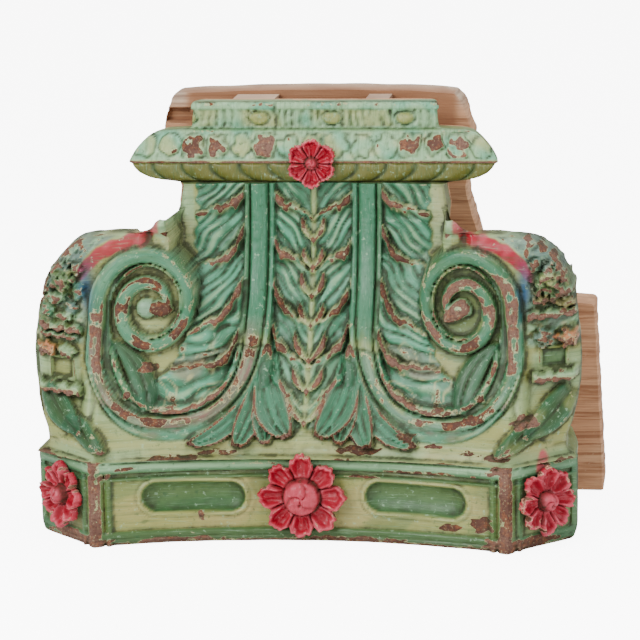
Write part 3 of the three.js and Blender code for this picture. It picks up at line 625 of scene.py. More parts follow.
def leafPart(g, across, along, marks, bandMask):
    # outer leaves between stem and scroll, and the middle leaf on its stalk
    z, ax = g.z, g.ax
    ends = ease(404, 401, z) * ease(128, 134, z)
    inner = leaves["outer"]["inner"]
    side = profile(leafSide, z) + 1.6 * np.sin(z * 0.35)
    mask = ease(inner - 1.5, inner + 1.0, ax) * ease(side + 1.2, side - 1.5, ax)
    insideBand = np.where(along < marks["coil"][0] - 30, ease(-12.0, -15.0, across), 1.0 - bandMask)
    mask *= ends * np.where(ax < inner + 1.0, 1.0, insideBand)
    steep = mixOf(0.42, 1.22, ease(195, 300, z))
    phase = (z + steep * (ax - inner) - 0.0022 * (ax - inner) ** 2) / 16.5 + 0.42 * lumps(g.x, z, 52, 30)
    swept = np.minimum(bellFace(ax, z), scrollFace(ax, z) + scroll["floor"])
    base = mixOf(bellFace(ax, z), swept, ease(312, 228, z))
    extra = ("deep", 0.45 * ease(360, 400, z) * ease(110, 125, ax))
    hollow = 2.5 * ease(side - 12, side, ax)
    leafFolds(g, leaves["outer"], mask, ease(128, 92, ax), phase, base, hollow, extra)
    low = ease(250, 205, z)
    streaks = ease(0.15, 0.8, lumps(phase * 9, ax * 0.45, 20, 92)) * low
    g.bare(mask * streaks * 0.64)
    g.tint("mauve", mask * ease(0.2, 0.8, lumps(phase * 7, ax * 0.4, 24, 93)) * ease(240, 200, z) * 0.5)
    g.tint("cream", mask * hill(streaks - 0.4, 0.16) * low * 0.6)

    half = leaves["middle"]["half"]
    mask = ease(half + 1.0, half - 1.0, ax) * ends
    phase = (z - 1.45 * ax + 0.006 * ax ** 2) / 16.0 + 0.42 * lumps(g.x, z, 52, 32)
    extra = ("mint", 0.4 * ease(215, 170, z))
    hollow = 3.0 * ease(14, 3, ax)
    leafFolds(g, leaves["middle"], mask, ease(10, 42, ax), phase, bellFace(ax, z), hollow, extra)

    # stalk up the middle with pairs of worn bracts
    stalk = rib(g.x, 4.2) * ease(404, 400, z) * ease(126, 132, z)
    g.y = np.where(stalk > 0, np.minimum(g.y, bellFace(ax, z) - 5.0 * stalk), g.y)
    g.tint("pale", ease(0.1, 0.6, stalk) * 0.7)
    for low, tall, wide in bracts:
        t, u, mask = tongue(ax, z, (1.5, low - 2), (wide + 1.5, low + tall), 4.6, -0.12, 0.9)
        face = bellFace(ax, z) + 1.0 - (10 + 8 * t) * (0.5 + 0.5 * rib(u, 1.0))
        g.carve(face, mask)
        g.tint("pale", mask * 0.75)
        g.tint("mauve", mask * ease(0.8, 0.4, np.abs(u)) * ease(0.2, 0.5, t) * 0.8)
        g.bare(mask * (0.25 + 0.3 * t + 0.2 * lumps(g.x, z, 30, 37)))
        g.lay(mask, u * 5, t * 27)
        knot = rib(np.abs(g.x) / 5.5 + np.abs(z - low + 2) / 6.5, 1.0) * (np.abs(z - low + 2) < 7)
        g.y = np.where(knot > 0, np.minimum(g.y, bellFace(ax, z) - 7 - 4 * knot), g.y)
        g.bare(ease(0.4, 0.9, knot) * 0.5)


# Lobes of the fans that hang over the cove: root, tip, half width, bow, rise
fanLobes = [
    ((60, 178), (137, 117), 11, -0.15, 15), ((56, 182), (79, 112), 16, -0.06, 17),
    ((52, 186), (42, 115), 15, 0.02, 16), ((47, 203), (15, 122), 20, 0.14, 18),
]


def fanPart(g):
    # hanging lobes with hollow faces and worn rims, and the bract between them
    z, ax = g.z, g.ax
    for root, tip, half, bow, rise in fanLobes:
        t, u, mask = tongue(ax, z, root, tip, half, bow, 1.35)
        bowl = 0.62 + 0.38 * ease(0.35, 0.9, np.abs(u)) + 0.16 * hill(u, 0.18)
        flutes = 0.075 * np.cos(u * 13.5)
        lift = rise * (0.55 + 0.45 * ease(0.2, 1.0, t)) * (bowl + flutes)
        rim = np.maximum(ease(0.68, 0.92, np.abs(u)), ease(0.86, 0.97, t)) * ease(0.15, 0.4, t)
        face = bellFace(ax, z) + 2.0 - lift
        g.y = mixOf(g.y, np.minimum(g.y + 2, face), mask)
        g.lay(mask, u * half, t * 70)
        g.tint("turquoise", mask)
        g.tint("deep", mask * 0.4 * hill(np.abs(u) - 0.5, 0.14))
        g.tint("mauve", mask * rim * 0.6)
        g.wear = np.maximum(g.wear * (1 - mask), mask * rim * 0.66)
    t, u, mask = tongue(ax, z, (50, 172), (49, 221), 8.5, 0.0, 1.0)
    face = bellFace(ax, z) - (8 + 8 * t) * (0.5 + 0.5 * rib(u, 1.0))
    g.carve(face, mask)
    g.tint("deep", mask * 0.7)
    g.wear = np.maximum(g.wear * (1 - mask), mask * ease(0.45, 0.9, t) * 0.8)


def tendrilPart(g):
    # long plain leaf that lies in the scroll's floor, with a knob beside it
    z, ax = g.z, g.ax
    t, u, mask = tongue(ax, z, (184, 150), (228, 232), 15, 0.10, 0.8)
    face = scrollFace(ax, z) + scroll["floor"] - 10.0 * (0.3 + 0.7 * rib(u, 1.05)) + 3.0 * hill(u - 0.1, 0.12)
    g.carve(face, mask)
    g.tint("deep", mask * 0.95)
    g.tint("turquoise", mask * 0.4 * hill(u + 0.45, 0.3))
    g.lay(mask, u * 15, t * 90)
    knob = rib(np.hypot(ax - 210, z - 169), 5.5)
    g.y = g.y - 5.0 * knob
    g.bare(ease(0.3, 0.8, knob) * 0.6)


# The slanted corners' ornament, which sits higher on the right
# knots: distance from the middle, level, width, height, rise, paint; shelves: level, start, end, half, rise
corners = {
    -1: {
        "knots": [
            (289, 305, 17, 19, 15, "sage"), (311, 296, 12, 14, 10, "blueGrey"), (269, 316, 9, 8, 9, "pale"),
            (268, 291, 9, 11, 7, "turquoise"), (297, 281, 16, 8, 10, "mint"),
            (277, 270, 10, 8, 7, "blueGrey"), (309, 265, 11, 8, 8, "turquoise"),
            (286, 258, 13, 6, 8, "mint"), (309, 220, 14, 9, 12, "salmon"), (283, 219, 12, 8, 11, "mint"),
        ],
        "shelves": [(246, 264, 320, 5, 10), (236, 268, 318, 4, 7), (175, 264, 318, 6.5, 12)],
        "panel": (290, 197, 14, 12),
    },
    1: {
        "knots": [
            (294, 303, 25, 22, 19, "sage"), (272, 322, 8, 8, 8, "mint"), (303, 293, 10, 9, 21, "mint"),
            (287, 311, 11, 8, 20, "pale"), (281, 283, 13, 7, 13, "tan"), (306, 279, 13, 7, 12, "tan"),
            (282, 239, 13, 11, 11, "blueGrey"), (308, 237, 14, 11, 13, "salmon"),
        ],
        "shelves": [(266, 262, 318, 5.5, 12), (194, 268, 318, 6.5, 13)],
        "panel": (292, 214, 14, 11),
    },
}


# distance from the middle with the red flame's level, and with its half width
flameLine = np.array([
    (176, 368), (186, 351), (205, 347), (225, 342), (245, 331), (258, 319), (268, 308),
], float)
flameHalf = np.array([(172, 11), (186, 8), (225, 8.5), (258, 11), (270, 6)], float)


def cornerPart(g, ground):
    # crusted bud, ledges, knobs and shelf of the slanted corner, with two leaves below
    z, ax, x = g.z, g.ax, g.x
    crust = ease(256, 268, ax) * ease(224, 234, z) * ease(356, 338, z)
    grain = 0.6 * lumps(x, z, 15, 45) + 0.6 * lumps(x, z, 8, 46)
    g.y = g.y - crust * (1.5 + 1.7 * grain)
    g.tint("sage", crust * 0.6)
    g.tint("turquoise", crust * ease(0.1, 0.6, lumps(x, z, 18, 47)) * 0.8)
    g.tint("mint", crust * ease(-0.4, 0.4, grain) * 0.9)
    g.tint("cream", crust * ease(0.35, 0.9, lumps(x, z, 13, 85)) * 0.7)
    g.tint("blueGrey", crust * ease(0.2, 0.7, lumps(x, z, 26, 48)) * 0.6)
    g.bare(crust * (0.22 + 0.32 * lumps(x, z, 14, 49)))
    # dirt with painted shade in the crust's low spots
    g.soilAndShade(crust * ease(-0.4, -1.0, grain) * 0.6)
    column = ease(262, 272, ax) * ease(226, 216, z) * ease(172, 180, z)
    g.tint("mint", column * 0.5)
    knots = [(sign, knot) for sign, corner in corners.items() for knot in corner["knots"]]
    for sign, (cx, cz, w, h, rise, name) in knots:
        d = np.hypot((ax - cx) / w, (z - cz) / h) + 0.2 * lumps(x, z, 12, 76) + 0.1 * lumps(x, z, 6, 77)
        turn = np.arctan2(z - cz, ax - cx)
        petals = 1 + 0.12 * np.cos(turn * 5 + cx)
        lift = rise * rib(d * petals, 1.0) ** 0.8 - 2.2 * rise / 10 * hill(d - 0.5, 0.14) + 1.1 * grain
        on = ease(1.0, 0.9, d * petals) * (x * sign > 0)
        g.carve(ground - lift * 1.6 + 1.0, on)
        g.tint(name, on * 0.75)
        # dirt with painted shade in the groove inside each knot and round its outline
        g.soilAndShade(on * 0.4 * hill(d - 0.55, 0.07) + 0.7 * hill(d * petals - 1.0, 0.1) * (x * sign > 0))
        g.bare(on * (0.35 * ease(0.6, 0.2, d) + 0.2 + 0.4 * lumps(x, z, 12, 78)) * ease(cz + 6, cz - 3, z))
    shelves = [(sign, shelf) for sign, corner in corners.items() for shelf in corner["shelves"]]
    for sign, (level, start, end, half, rise) in shelves:
        d = np.abs(z - level - 0.06 * (ax - 290) - 1.5 * np.sin(ax * 0.4))
        ends = ease(start - 2, start + 2, ax) * ease(end + 3, end - 1, ax)
        on = ease(half, half - 1.6, d) * ends * (x * sign > 0)
        g.carve(ground - rise * 1.7 * (0.75 + 0.25 * rib(d, half)) - 1.5 * grain, on)
        g.tint("mint", on * 0.6 * ease(level - 1, level + 3, z))
        g.bare(on * (0.5 + 0.3 * lumps(x, z, 18, 43)) * ease(level + 2.5, level - 1.5, z))
    for sign, corner in corners.items():
        px, pz, w, h = corner["panel"]
        inside = np.maximum(np.abs(ax - px) / w, np.abs(z - pz) / h) + 9.0 * (x * sign < 0)
        panel = ease(1.0, 0.88, inside)
        g.y = g.y + 4.0 * panel - 3.0 * hill(inside - 1.14, 0.1)
        g.tint("hollow" if sign > 0 else "olive", panel * 0.8)
        g.bare(0.5 * hill(inside - 1.14, 0.08))
    for root, tip, half, bow in (((312, 176), (258, 128), 17, 0.06), ((284, 142), (226, 112), 12, -0.05)):
        t, u, mask = tongue(ax, z, root, tip, half, bow, 0.8)
        lift = (9 + 9 * ease(0.2, 0.8, t)) * (0.5 + 0.5 * rib(u, 1.05)) - 3.0 * hill(u, 0.14)
        g.carve(ground - lift, mask)
        g.tint("deep", mask * 0.92)
        g.tint("turquoise", mask * 0.4 * ease(0.3, 0.9, np.abs(u)))
        g.tint("olive", mask * 0.5 * ease(-0.1, 0.7, lumps(x, z, 34, 91)) * (x > 0))
        g.lay(mask, u * half, t * 70)
        g.bare(mask * hill(u - 0.1, 0.12) * 0.55)
    # red flame over the shoulder, from the horn's tip down to the corner's bud
    line = profile(flameLine, ax)
    wide = profile(flameHalf, ax)
    flame = ease(1.15, 0.8, np.abs(z - line - 1.5 * lumps(x, z, 22, 44)) / wide)
    flame = flame * ease(170, 176, ax) * ease(272, 264, ax)
    above = ease(0.0, 4.0, z - line - wide) * ease(196, 206, ax) * ease(356, 350, z)
    g.tint("blueGrey", above * 0.8)
    g.tint("mint", above * ease(0.1, 0.7, grain) * 0.8)
    g.y = g.y - above * 1.6 * grain
    g.bare(above * (0.3 + 0.4 * lumps(x, z, 12, 50)))
    g.tint("red", flame)
    g.tint("pink", flame * ease(0.1, 0.8, lumps(x * 1.3, z, 26, 41)) * 0.4)
    g.wear = g.wear * (1 - 0.8 * flame)
    hornFace = ease(346, 354, z) * ease(163, 167, ax) * ease(183, 178, ax) * (z < 371.8)
    g.tint("mint", hornFace * 0.7)
    g.bare(hornFace * ease(362, 354, z) * ease(174, 168, ax) * 0.75)
    hornEdge = ease(352, 358, z) * ease(172, 176, ax) * ease(186, 180, ax) * (z < 371.8)
    g.tint("pink", hornEdge * 0.8)
    g.tint("blue", hill(np.hypot((ax - 258) / 8, (z - 291) / 24), 1.0) ** 0.7)


# Repeats along the top mouldings, and the lobes of the slope that are worn bare, counted from the middle
moulding = {
    "gadroonPitch": 35.0, "lobePitch": 29.0, "lobeLevel": 446.0, "lobeHalf": 14.0,
    "bareLobes": (-5, -4, -2, 4, 5, 6), "eggPitch": 88.0, "eggStart": 67.0, "eggLevel": 476.5,
    "ribPitch": 9.5,
}


def mouldingPart(g):
    # gadroons under the edge, tongues on the slope and eggs on the top band
    z, x, ax = g.z, g.x, g.ax
    on = ease(block["neckTop"] - 1.0, block["neckTop"] + 0.4, z)
    half = profile(outline, z)
    y = profile(crown, z)
    y = y + 3.0 * rolled(ax - (half - 5.0), 5.0)
    up = z - block["neckTop"]
    slanted = (ax - 0.9 * up - 7 * np.sin(up * 0.13)) / moulding["gadroonPitch"] + 0.1
    gadroon = np.abs(np.sin(slanted * math.pi)) ** 0.6
    under = ease(402, 406, z) * ease(426.4, 423.5, z)
    y = y - under * 5.0 * (gadroon - 0.45)
    bent = x + 2.0 * lumps(x, z, 45, 57)
    cell = (bent / moulding["lobePitch"] + 0.5) % 1.0 - 0.5
    number = np.round(bent / moulding["lobePitch"]).astype(int)
    slope = ease(430, 433, z) * ease(462, 459, z)
    size = 1.0 + 0.1 * np.sin(number * 2.3)
    off = z - moulding["lobeLevel"] - 1.8 * np.sin(number * 1.7)
    disc = (cell / 0.46 / size) ** 2 + (off / (moulding["lobeHalf"] * size)) ** 2
    disc = disc + 0.36 * lumps(x, z, 17, 63) + 0.2 * lumps(x, z, 44, 87)
    lobe = np.clip(1.0 - disc, 0, 1) ** 0.5
    edgeLine = hill(disc - 1.0, 0.22) * slope
    soft = 0.75 + 0.4 * lumps(x, z, 70, 55)
    y = y - slope * 4.6 * (lobe - 0.4) * soft + 1.0 * edgeLine
    bareLobe = np.clip(1.45 - disc * 1.4 + 0.4 * lumps(x, z, 20, 96), 0, 1)
    bareLobe = bareLobe * np.isin(number, moulding["bareLobes"])
    band = ease(465, 468, z) * ease(488, 485, z)
    pitch = moulding["eggPitch"]
    place = (x + moulding["eggStart"] + pitch / 2) % pitch - pitch / 2
    disc2 = (place / 11.5) ** 2 + ((z - moulding["eggLevel"]) / 7.5) ** 2
    egg = np.clip(1.0 - disc2, 0, 1) ** 0.5
    ribs = np.cos(2 * math.pi * (x + 3 * lumps(x, z, 40, 64)) / moulding["ribPitch"]) * ease(1.6, 2.4, disc2)
    ribs = ribs * (0.55 + 0.6 * lumps(x, z, 36, 65))
    y = y - band * (3.6 * egg + 1.7 * ribs - 0.4) + band * 1.6 * hill(disc2 - 1.25, 0.3)
    y = y + (1.2 * lumps(x, z, 30, 51) + 0.8 * lumps(x, z, 11, 56)) * ease(428, 436, z)
    g.y = mixOf(g.y, y, on)
    g.tint("oliveDark", on * ease(427, 426, z))
    g.tint("deep", on * under * 0.6 * ease(0.6, 0.25, gadroon))
    g.tint("mint", on * ease(428.5, 431, z))
    g.tint("cream", on * slope * 0.35 * ease(0.1, 0.8, lumps(x, z * 2, 26, 89)))
    g.tint("verdigris", on * ease(429, 432, z) * ease(-0.1, 0.7, lumps(x, z, 60, 52)) * 0.8)
    g.tint("pale", on * slope * ease(0.2, 0.6, lobe) * ease(0.1, 0.7, lumps(x, z, 80, 58)) * 0.7)
    g.tint("sage", on * (edgeLine * 0.55 + 0.6 * hill(z - 464, 2.0)))
    # dirt with painted shade in the grooves round the slope's lobes
    g.soilAndShade(on * edgeLine * (0.2 + 0.45 * lumps(x, z, 24, 66)))
    g.tint("pale", on * band * 0.75 * ease(-0.4, 0.5, lumps(x, z, 70, 88)))
    g.tint("olive", on * band * ease(0.1, 0.5, egg) * 0.9)
    g.tint("sage", on * band * ease(0.2, -0.8, ribs) * 0.6)
    g.wear = np.maximum(g.wear * (1 - on), on * (1.05 + 0.2 * lumps(x, z, 40, 59)) * hill(z - 427.6, 1.9))
    g.bare(on * slope * bareLobe * 0.95)
    g.bare(on * slope * ease(0.35, 0.9, lumps(x, z, 34, 53)) * 0.55)
    g.bare(on * (0.5 * ease(489, 493, z) + (0.35 + 0.5 * lumps(x, z, 60, 60)) * hill(z - 461.5, 1.8)))
    g.bare(on * band * hill(disc2 - 1.0, 0.2) * ease(478, 472, z) * 0.45)
    g.bare(on * 0.5 * hill(z - 403, 2.0) * ease(0.2, 0.7, lumps(x, z, 40, 62)))
    g.bare(on * under * ease(0.55, 0.2, gadroon) * 0.45)
    g.lay(on, x, z * 1.4)


# Crack over the stems, seam in the top band, and the middle of the smear by the right flower
flaws = {"crackLevel": 216, "seamAcross": -47, "smear": (281, 98)}


def crackPart(g):
    # painted-over crack across the stems and a short upright seam in the top band
    z, x = g.z, g.x
    line = flaws["crackLevel"] + 3.0 * np.sin(x * 0.06) + 1.5 * np.sin(x * 0.21)
    crack = hill(z - line, 1.6) * ease(92, 84, g.ax) * ease(44, 48, g.ax)
    g.y = g.y + 2.0 * crack
    g.tint("pale", hill(z - line - 5, 7) * ease(90, 82, g.ax) * ease(44, 50, g.ax) * 0.5)
    seam = hill(x - flaws["seamAcross"], 1.4) * ease(458, 464, z)
    g.y = g.y + 2.5 * seam
    g.soilAndShade(np.maximum(crack * 0.7, seam))


# Chipped places: across, level, half width, half height, strength
chips = [
    (211, 31, 12, 10, 1.0), (174, 24, 15, 5, 0.9), (-120, 31, 4, 6, 0.8), (66, 110, 24, 6, 1.0),
    (229, 110, 20, 4.5, 0.95), (152, 118, 13, 3, 0.8), (193, 113, 9, 3.5, 0.7), (-150, 103, 32, 3, 0.8),
    (-98, 107, 26, 3.5, 0.8), (-187, 199, 13, 5, 1.0), (260, 146, 15, 8, 0.85), (123, 126, 12, 4, 0.9),
    (200, 147, 14, 4, 0.8), (235, 5, 20, 12, 1.0), (262, 6, 40, 9, 0.9), (-262, 6, 40, 9, 0.9),
    (-150, 3, 60, 5, 0.8), (60, 3, 70, 5, 0.8), (-232, 84, 12, 5, 0.7), (140, 88, 50, 3, 0.6),
    (-60, 95, 40, 3, 0.5), (232, 97, 14, 6, 0.9), (-205, 92, 12, 3, 0.7), (70, 80, 18, 3, 0.6),
    (300, 99, 22, 4, 0.7), (-300, 99, 20, 4, 0.6),
]


def smearPart(g):
    # red paint that ran past the right flower's top petal: bell curve of the distance share
    across, level = flaws["smear"]
    d = np.hypot((g.x - across) / 6.5, (g.z - level) / 14) + 0.25 * lumps(g.x, g.z, 16, 94)
    g.tint("pink", ease(1.15, 0.75, d) * 0.9)


def chipPart(g):
    # ragged worn spots: one minus the distance share, broken up by an uneven field
    for cx, cz, w, h, much in chips:
        d = np.hypot((g.x - cx) / w, (g.z - cz) / h) + 0.35 * lumps(g.x, g.z * 1.6, 14, 80)
        g.bare(much * 1.15 * ease(1.25, 0.75, d))
        g.y = g.y + 0.5 * ease(1.1, 0.8, d)


def blurRows(values, times):
    # repeated three point average over rows and columns
    for _ in range(times):
        padded = np.pad(values, 1, mode="edge")
        values = (padded[:-2, 1:-1] + padded[2:, 1:-1] + padded[1:-1, :-2] + padded[1:-1, 2:]
                  + 2 * padded[1:-1, 1:-1]) / 6
    return values


# Rows that pass behind the horns' tips: move back from the tip, share of the way to the neck, drop,
# share of the way to the neck's width
hornRows = np.array([
    (5, 0.0, 0.5, 0), (11, 0.0, 5, 0), (14, 0.0, 17, 0), (0, 0.5, 26, 0), (-8, 1.0, 36, 0.1),
    (-1, 1.0, 24, 0.4), (0, 1.0, 8, 0.8),
], float)


def behindHorns(g, level, z):
    # rows between the horns' top row and the neck's first one; elsewhere they lie evenly between the two
    low = int(np.searchsorted(z, 371.2)) - 1
    high = int(np.searchsorted(z, 372.4))
    count = len(hornRows)
    share = (np.arange(1, count + 1) / (count + 1.0))[:, None]
    weight = ease(160.5, 165.0, np.abs(g.x[low]))[None, :]
    back, toNeck, down, narrow = (hornRows[:, k:k + 1] for k in range(4))
    y0, y1, x0, x1 = g.y[low], g.y[high], g.x[low], g.x[high]
    newX = mixOf(mixOf(x0, x1, share), mixOf(x0, x1, narrow), weight)
    newY = mixOf(mixOf(y0, y1, share), mixOf(y0, y1, toNeck) + back, weight)
    newZ = mixOf(mixOf(z[low], z[high], share), z[low] - down, weight)

    def insert(values, rows):
        return np.concatenate([values[:low + 1], rows, values[high:]], 0)

    for name in ("wear", "dirtAndShade", "color", "flow"):
        field = getattr(g, name)
        setattr(g, name, insert(field, np.repeat(field[high:high + 1], count, 0)))
    return insert(g.x, newX), insert(g.y, newY), insert(level, newZ), insert(z, newZ[:, -1])


def carvedBlock():
    # the front is a grid over place and level whose depth the parts set; the sides run straight back from
    # its edges, drawn in by the square of the share of the way; back, top and underside are flat faces
    z = rowLevels()
    half = profile(outline, z)
    inner = np.arange(-block["innerHalf"], block["innerHalf"] + 0.1, block["innerStep"])
    share = np.arange(1, block["outerColumns"] + 1) / block["outerColumns"]
    right = block["innerHalf"] + (half[:, None] - block["innerHalf"]) * share[None, :]
    bulge = block["leftBulge"] * ease(128, 165, z) * ease(305, 282, z)
    left = right + bulge[:, None] * share[None, :]
    x = np.concatenate([-left[:, ::-1], np.repeat(inner[None, :], len(z), 0), right], 1)
    level = np.repeat(z[:, None], x.shape[1], 1)
    g = Ground(x, level)
    plinthPart(g)
    ground = groundPart(g)
    across, along, marks, bandMask = bandPart(g)
    leafPart(g, across, along, marks, bandMask)
    fanPart(g)
    tendrilPart(g)
    cornerPart(g, ground)
    mouldingPart(g)
    crackPart(g)
    smearPart(g)
    chipPart(g)
    g.y = g.y + 0.25 * lumps(x, level, 9, 61)
    g.y = np.clip(g.y, 0.6, blockDeep - 12)
    relief = blurRows(g.y, 3)
    proud = np.clip((blurRows(relief, 14) - relief) / 3.2, -1, 1)
    base = blurRows(g.y, 1)
    fine = np.clip((blurRows(base, 3) - base) / 0.75, -1, 1)
    g.wear = np.clip(g.wear * 0.78 + 0.16 * np.clip(proud, 0, 1) + 0.3 * np.clip(fine, 0, 1), 0, 1)
    # dirt with painted shade: hollows and fine creases, where the surface lies behind its blurred
    # surroundings, are darkened as if in shade
    g.dirtAndShade = np.clip(g.dirtAndShade + 0.32 * np.clip(-proud, 0, 1) + 1.1 * np.clip(-fine - 0.1, 0, 1), 0, 1)
    print("block relief ready", x.shape)
    g.x, g.y, level, z = behindHorns(g, level, z)
    x = g.x
    sides = block["sideColumns"]
    step = (np.arange(1, sides + 1) / sides)[None, :] ** 1.25
    lowered = (z > 100) & (z < 371.8)
    drop = block["backDrop"] * ease(279, 352, z) * lowered
    taper = block["sideTaper"] * ease(372, 356, z) + block["crownTaper"] * ease(402, 410, z)
    hornRow = np.clip(z - 353.0, 0.0, None) * lowered

    def sideOf(edge, reach, sign):
        # columns from the front's edge to the back
        y = edge[:, None] + (blockDeep - edge[:, None]) * step
        x = reach[:, None] - sign * taper[:, None] * step ** 2
        ripple = lumps(y * 0.6, z[:, None] + 0 * y, 40, 71 if sign > 0 else 72)
        x = x - sign * 0.9 * (1 + ripple) * (1 - step)
        return x, y, z[:, None] - drop[:, None] * step - 0.95 * hornRow[:, None] * ease(0.0, 0.1, step)

    leftX, leftY, leftZ = sideOf(g.y[:, 0], x[:, 0], -1)
    rightX, rightY, rightZ = sideOf(g.y[:, -1], x[:, -1], 1)
    gx = np.concatenate([leftX[:, ::-1], x, rightX], 1)
    gy = np.concatenate([leftY[:, ::-1], g.y, rightY], 1)
    gz = np.concatenate([leftZ[:, ::-1], level, rightZ], 1)
    rows, cols = gx.shape
    points = np.stack([gx * mm, frontY + gy * mm, blockLow.z + gz * mm], -1).reshape(-1, 3)
    points[:, 2] = np.clip(points[:, 2], blockLow.z, blockHigh.z)

    def widen(values):
        # carry the front's layer on to the sides
        left = np.repeat(values[:, :1], sides, 1)
        rest = np.repeat(values[:, -1:], sides, 1)
        return np.concatenate([left, values, rest], 1)

    sideBare = np.concatenate([step[:, ::-1], np.zeros((1, x.shape[1])), step], 1)
    raw = ease(0.55, 1.0, np.repeat(sideBare, rows, 0))
    wear = widen(g.wear)
    dirtAndShade = widen(g.dirtAndShade)
    color = widen(g.color)
    plain = np.concatenate([ease(0, 0.12, step)[:, ::-1], np.zeros((1, x.shape[1])), ease(0, 0.12, step)], 1)
    dirtAndShade = mixOf(dirtAndShade, np.minimum(dirtAndShade, 0.14), plain)
    wear = mixOf(wear, np.minimum(wear, 0.3), plain)
    color = mixOf(color, mixOf(paint["sage"], paint["olive"], 0.5), (plain * 0.75)[..., None]).reshape(-1, 3)
    flow = widen(g.flow)
    flow[:, :sides, 0] = gz[:, :sides]
    flow[:, -sides:, 0] = gz[:, -sides:]
    flow[:, :sides, 1] = gy[:, :sides]
    flow[:, -sides:, 1] = gy[:, -sides:]
    flow = np.concatenate([flow, np.zeros((rows, cols, 1))], 2).reshape(-1, 3)
    back = np.stack([np.arange(rows - 1) * cols + cols - 1, np.arange(rows - 1) * cols,
                     np.arange(1, rows) * cols, np.arange(1, rows) * cols + cols - 1], -1)
    faces = gridFaces(rows, cols).tolist() + back.tolist()
    faces += [list(range(cols))[::-1], list(range((rows - 1) * cols, rows * cols))]
    layers = {"paint": color, "wear": wear.ravel(), "dirtAndShade": dirtAndShade.ravel(), "raw": raw.ravel(), "flow": flow}
    piece = meshPiece("carvedBlock", points, faces, layers)
    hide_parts("carved_front")
    return piece


carved = carvedBlock()
print("carved block done", len(carved.data.polygons))


# Nailed-on flowers: a relief over polar rings, cupped petals round a bud

flowers = {
    "flowerCentre": {
        "node": "flower_centre", "at": (0.0, 41.7, 56.0), "yaw": 0.0, "petals": 8,
        "boss": 21.5, "height": 21.5, "between": 0.24,
        "reach": [1.0, 0.97, 1.0, 0.98, 0.94, 0.98, 1.0, 0.97], "radius": 53.5, "seed": 3,
    },
    "flowerLeft": {
        "node": "flower_left", "at": (-281.8, 38.2, 56.0), "yaw": -45.0, "petals": 8,
        "boss": 11.5, "height": 19.5, "between": 0.24,
        "reach": [1.0, 0.93, 0.96, 0.9, 0.95, 0.92, 0.97, 0.9], "radius": 42.5, "seed": 5,
    },
    "flowerRight": {
        "node": "flower_right", "at": (281.8, 38.2, 56.0), "yaw": 45.0, "petals": 8,
        "boss": 11.5, "height": 19.5, "between": 0.24,
        "reach": [1.0, 0.98, 0.97, 1.0, 0.99, 0.96, 0.99, 0.97], "radius": 43.0, "seed": 8,
    },
    "rosetteTop": {
        "node": "rosette_top", "at": (0.0, 188.7, 427.0), "yaw": 0.0, "petals": 6,
        "boss": 7.5, "height": 16.5, "between": 0.15,
        "reach": [0.98, 1.0, 0.96, 0.99, 0.97, 1.0], "radius": 31.5, "seed": 11,
    },
}


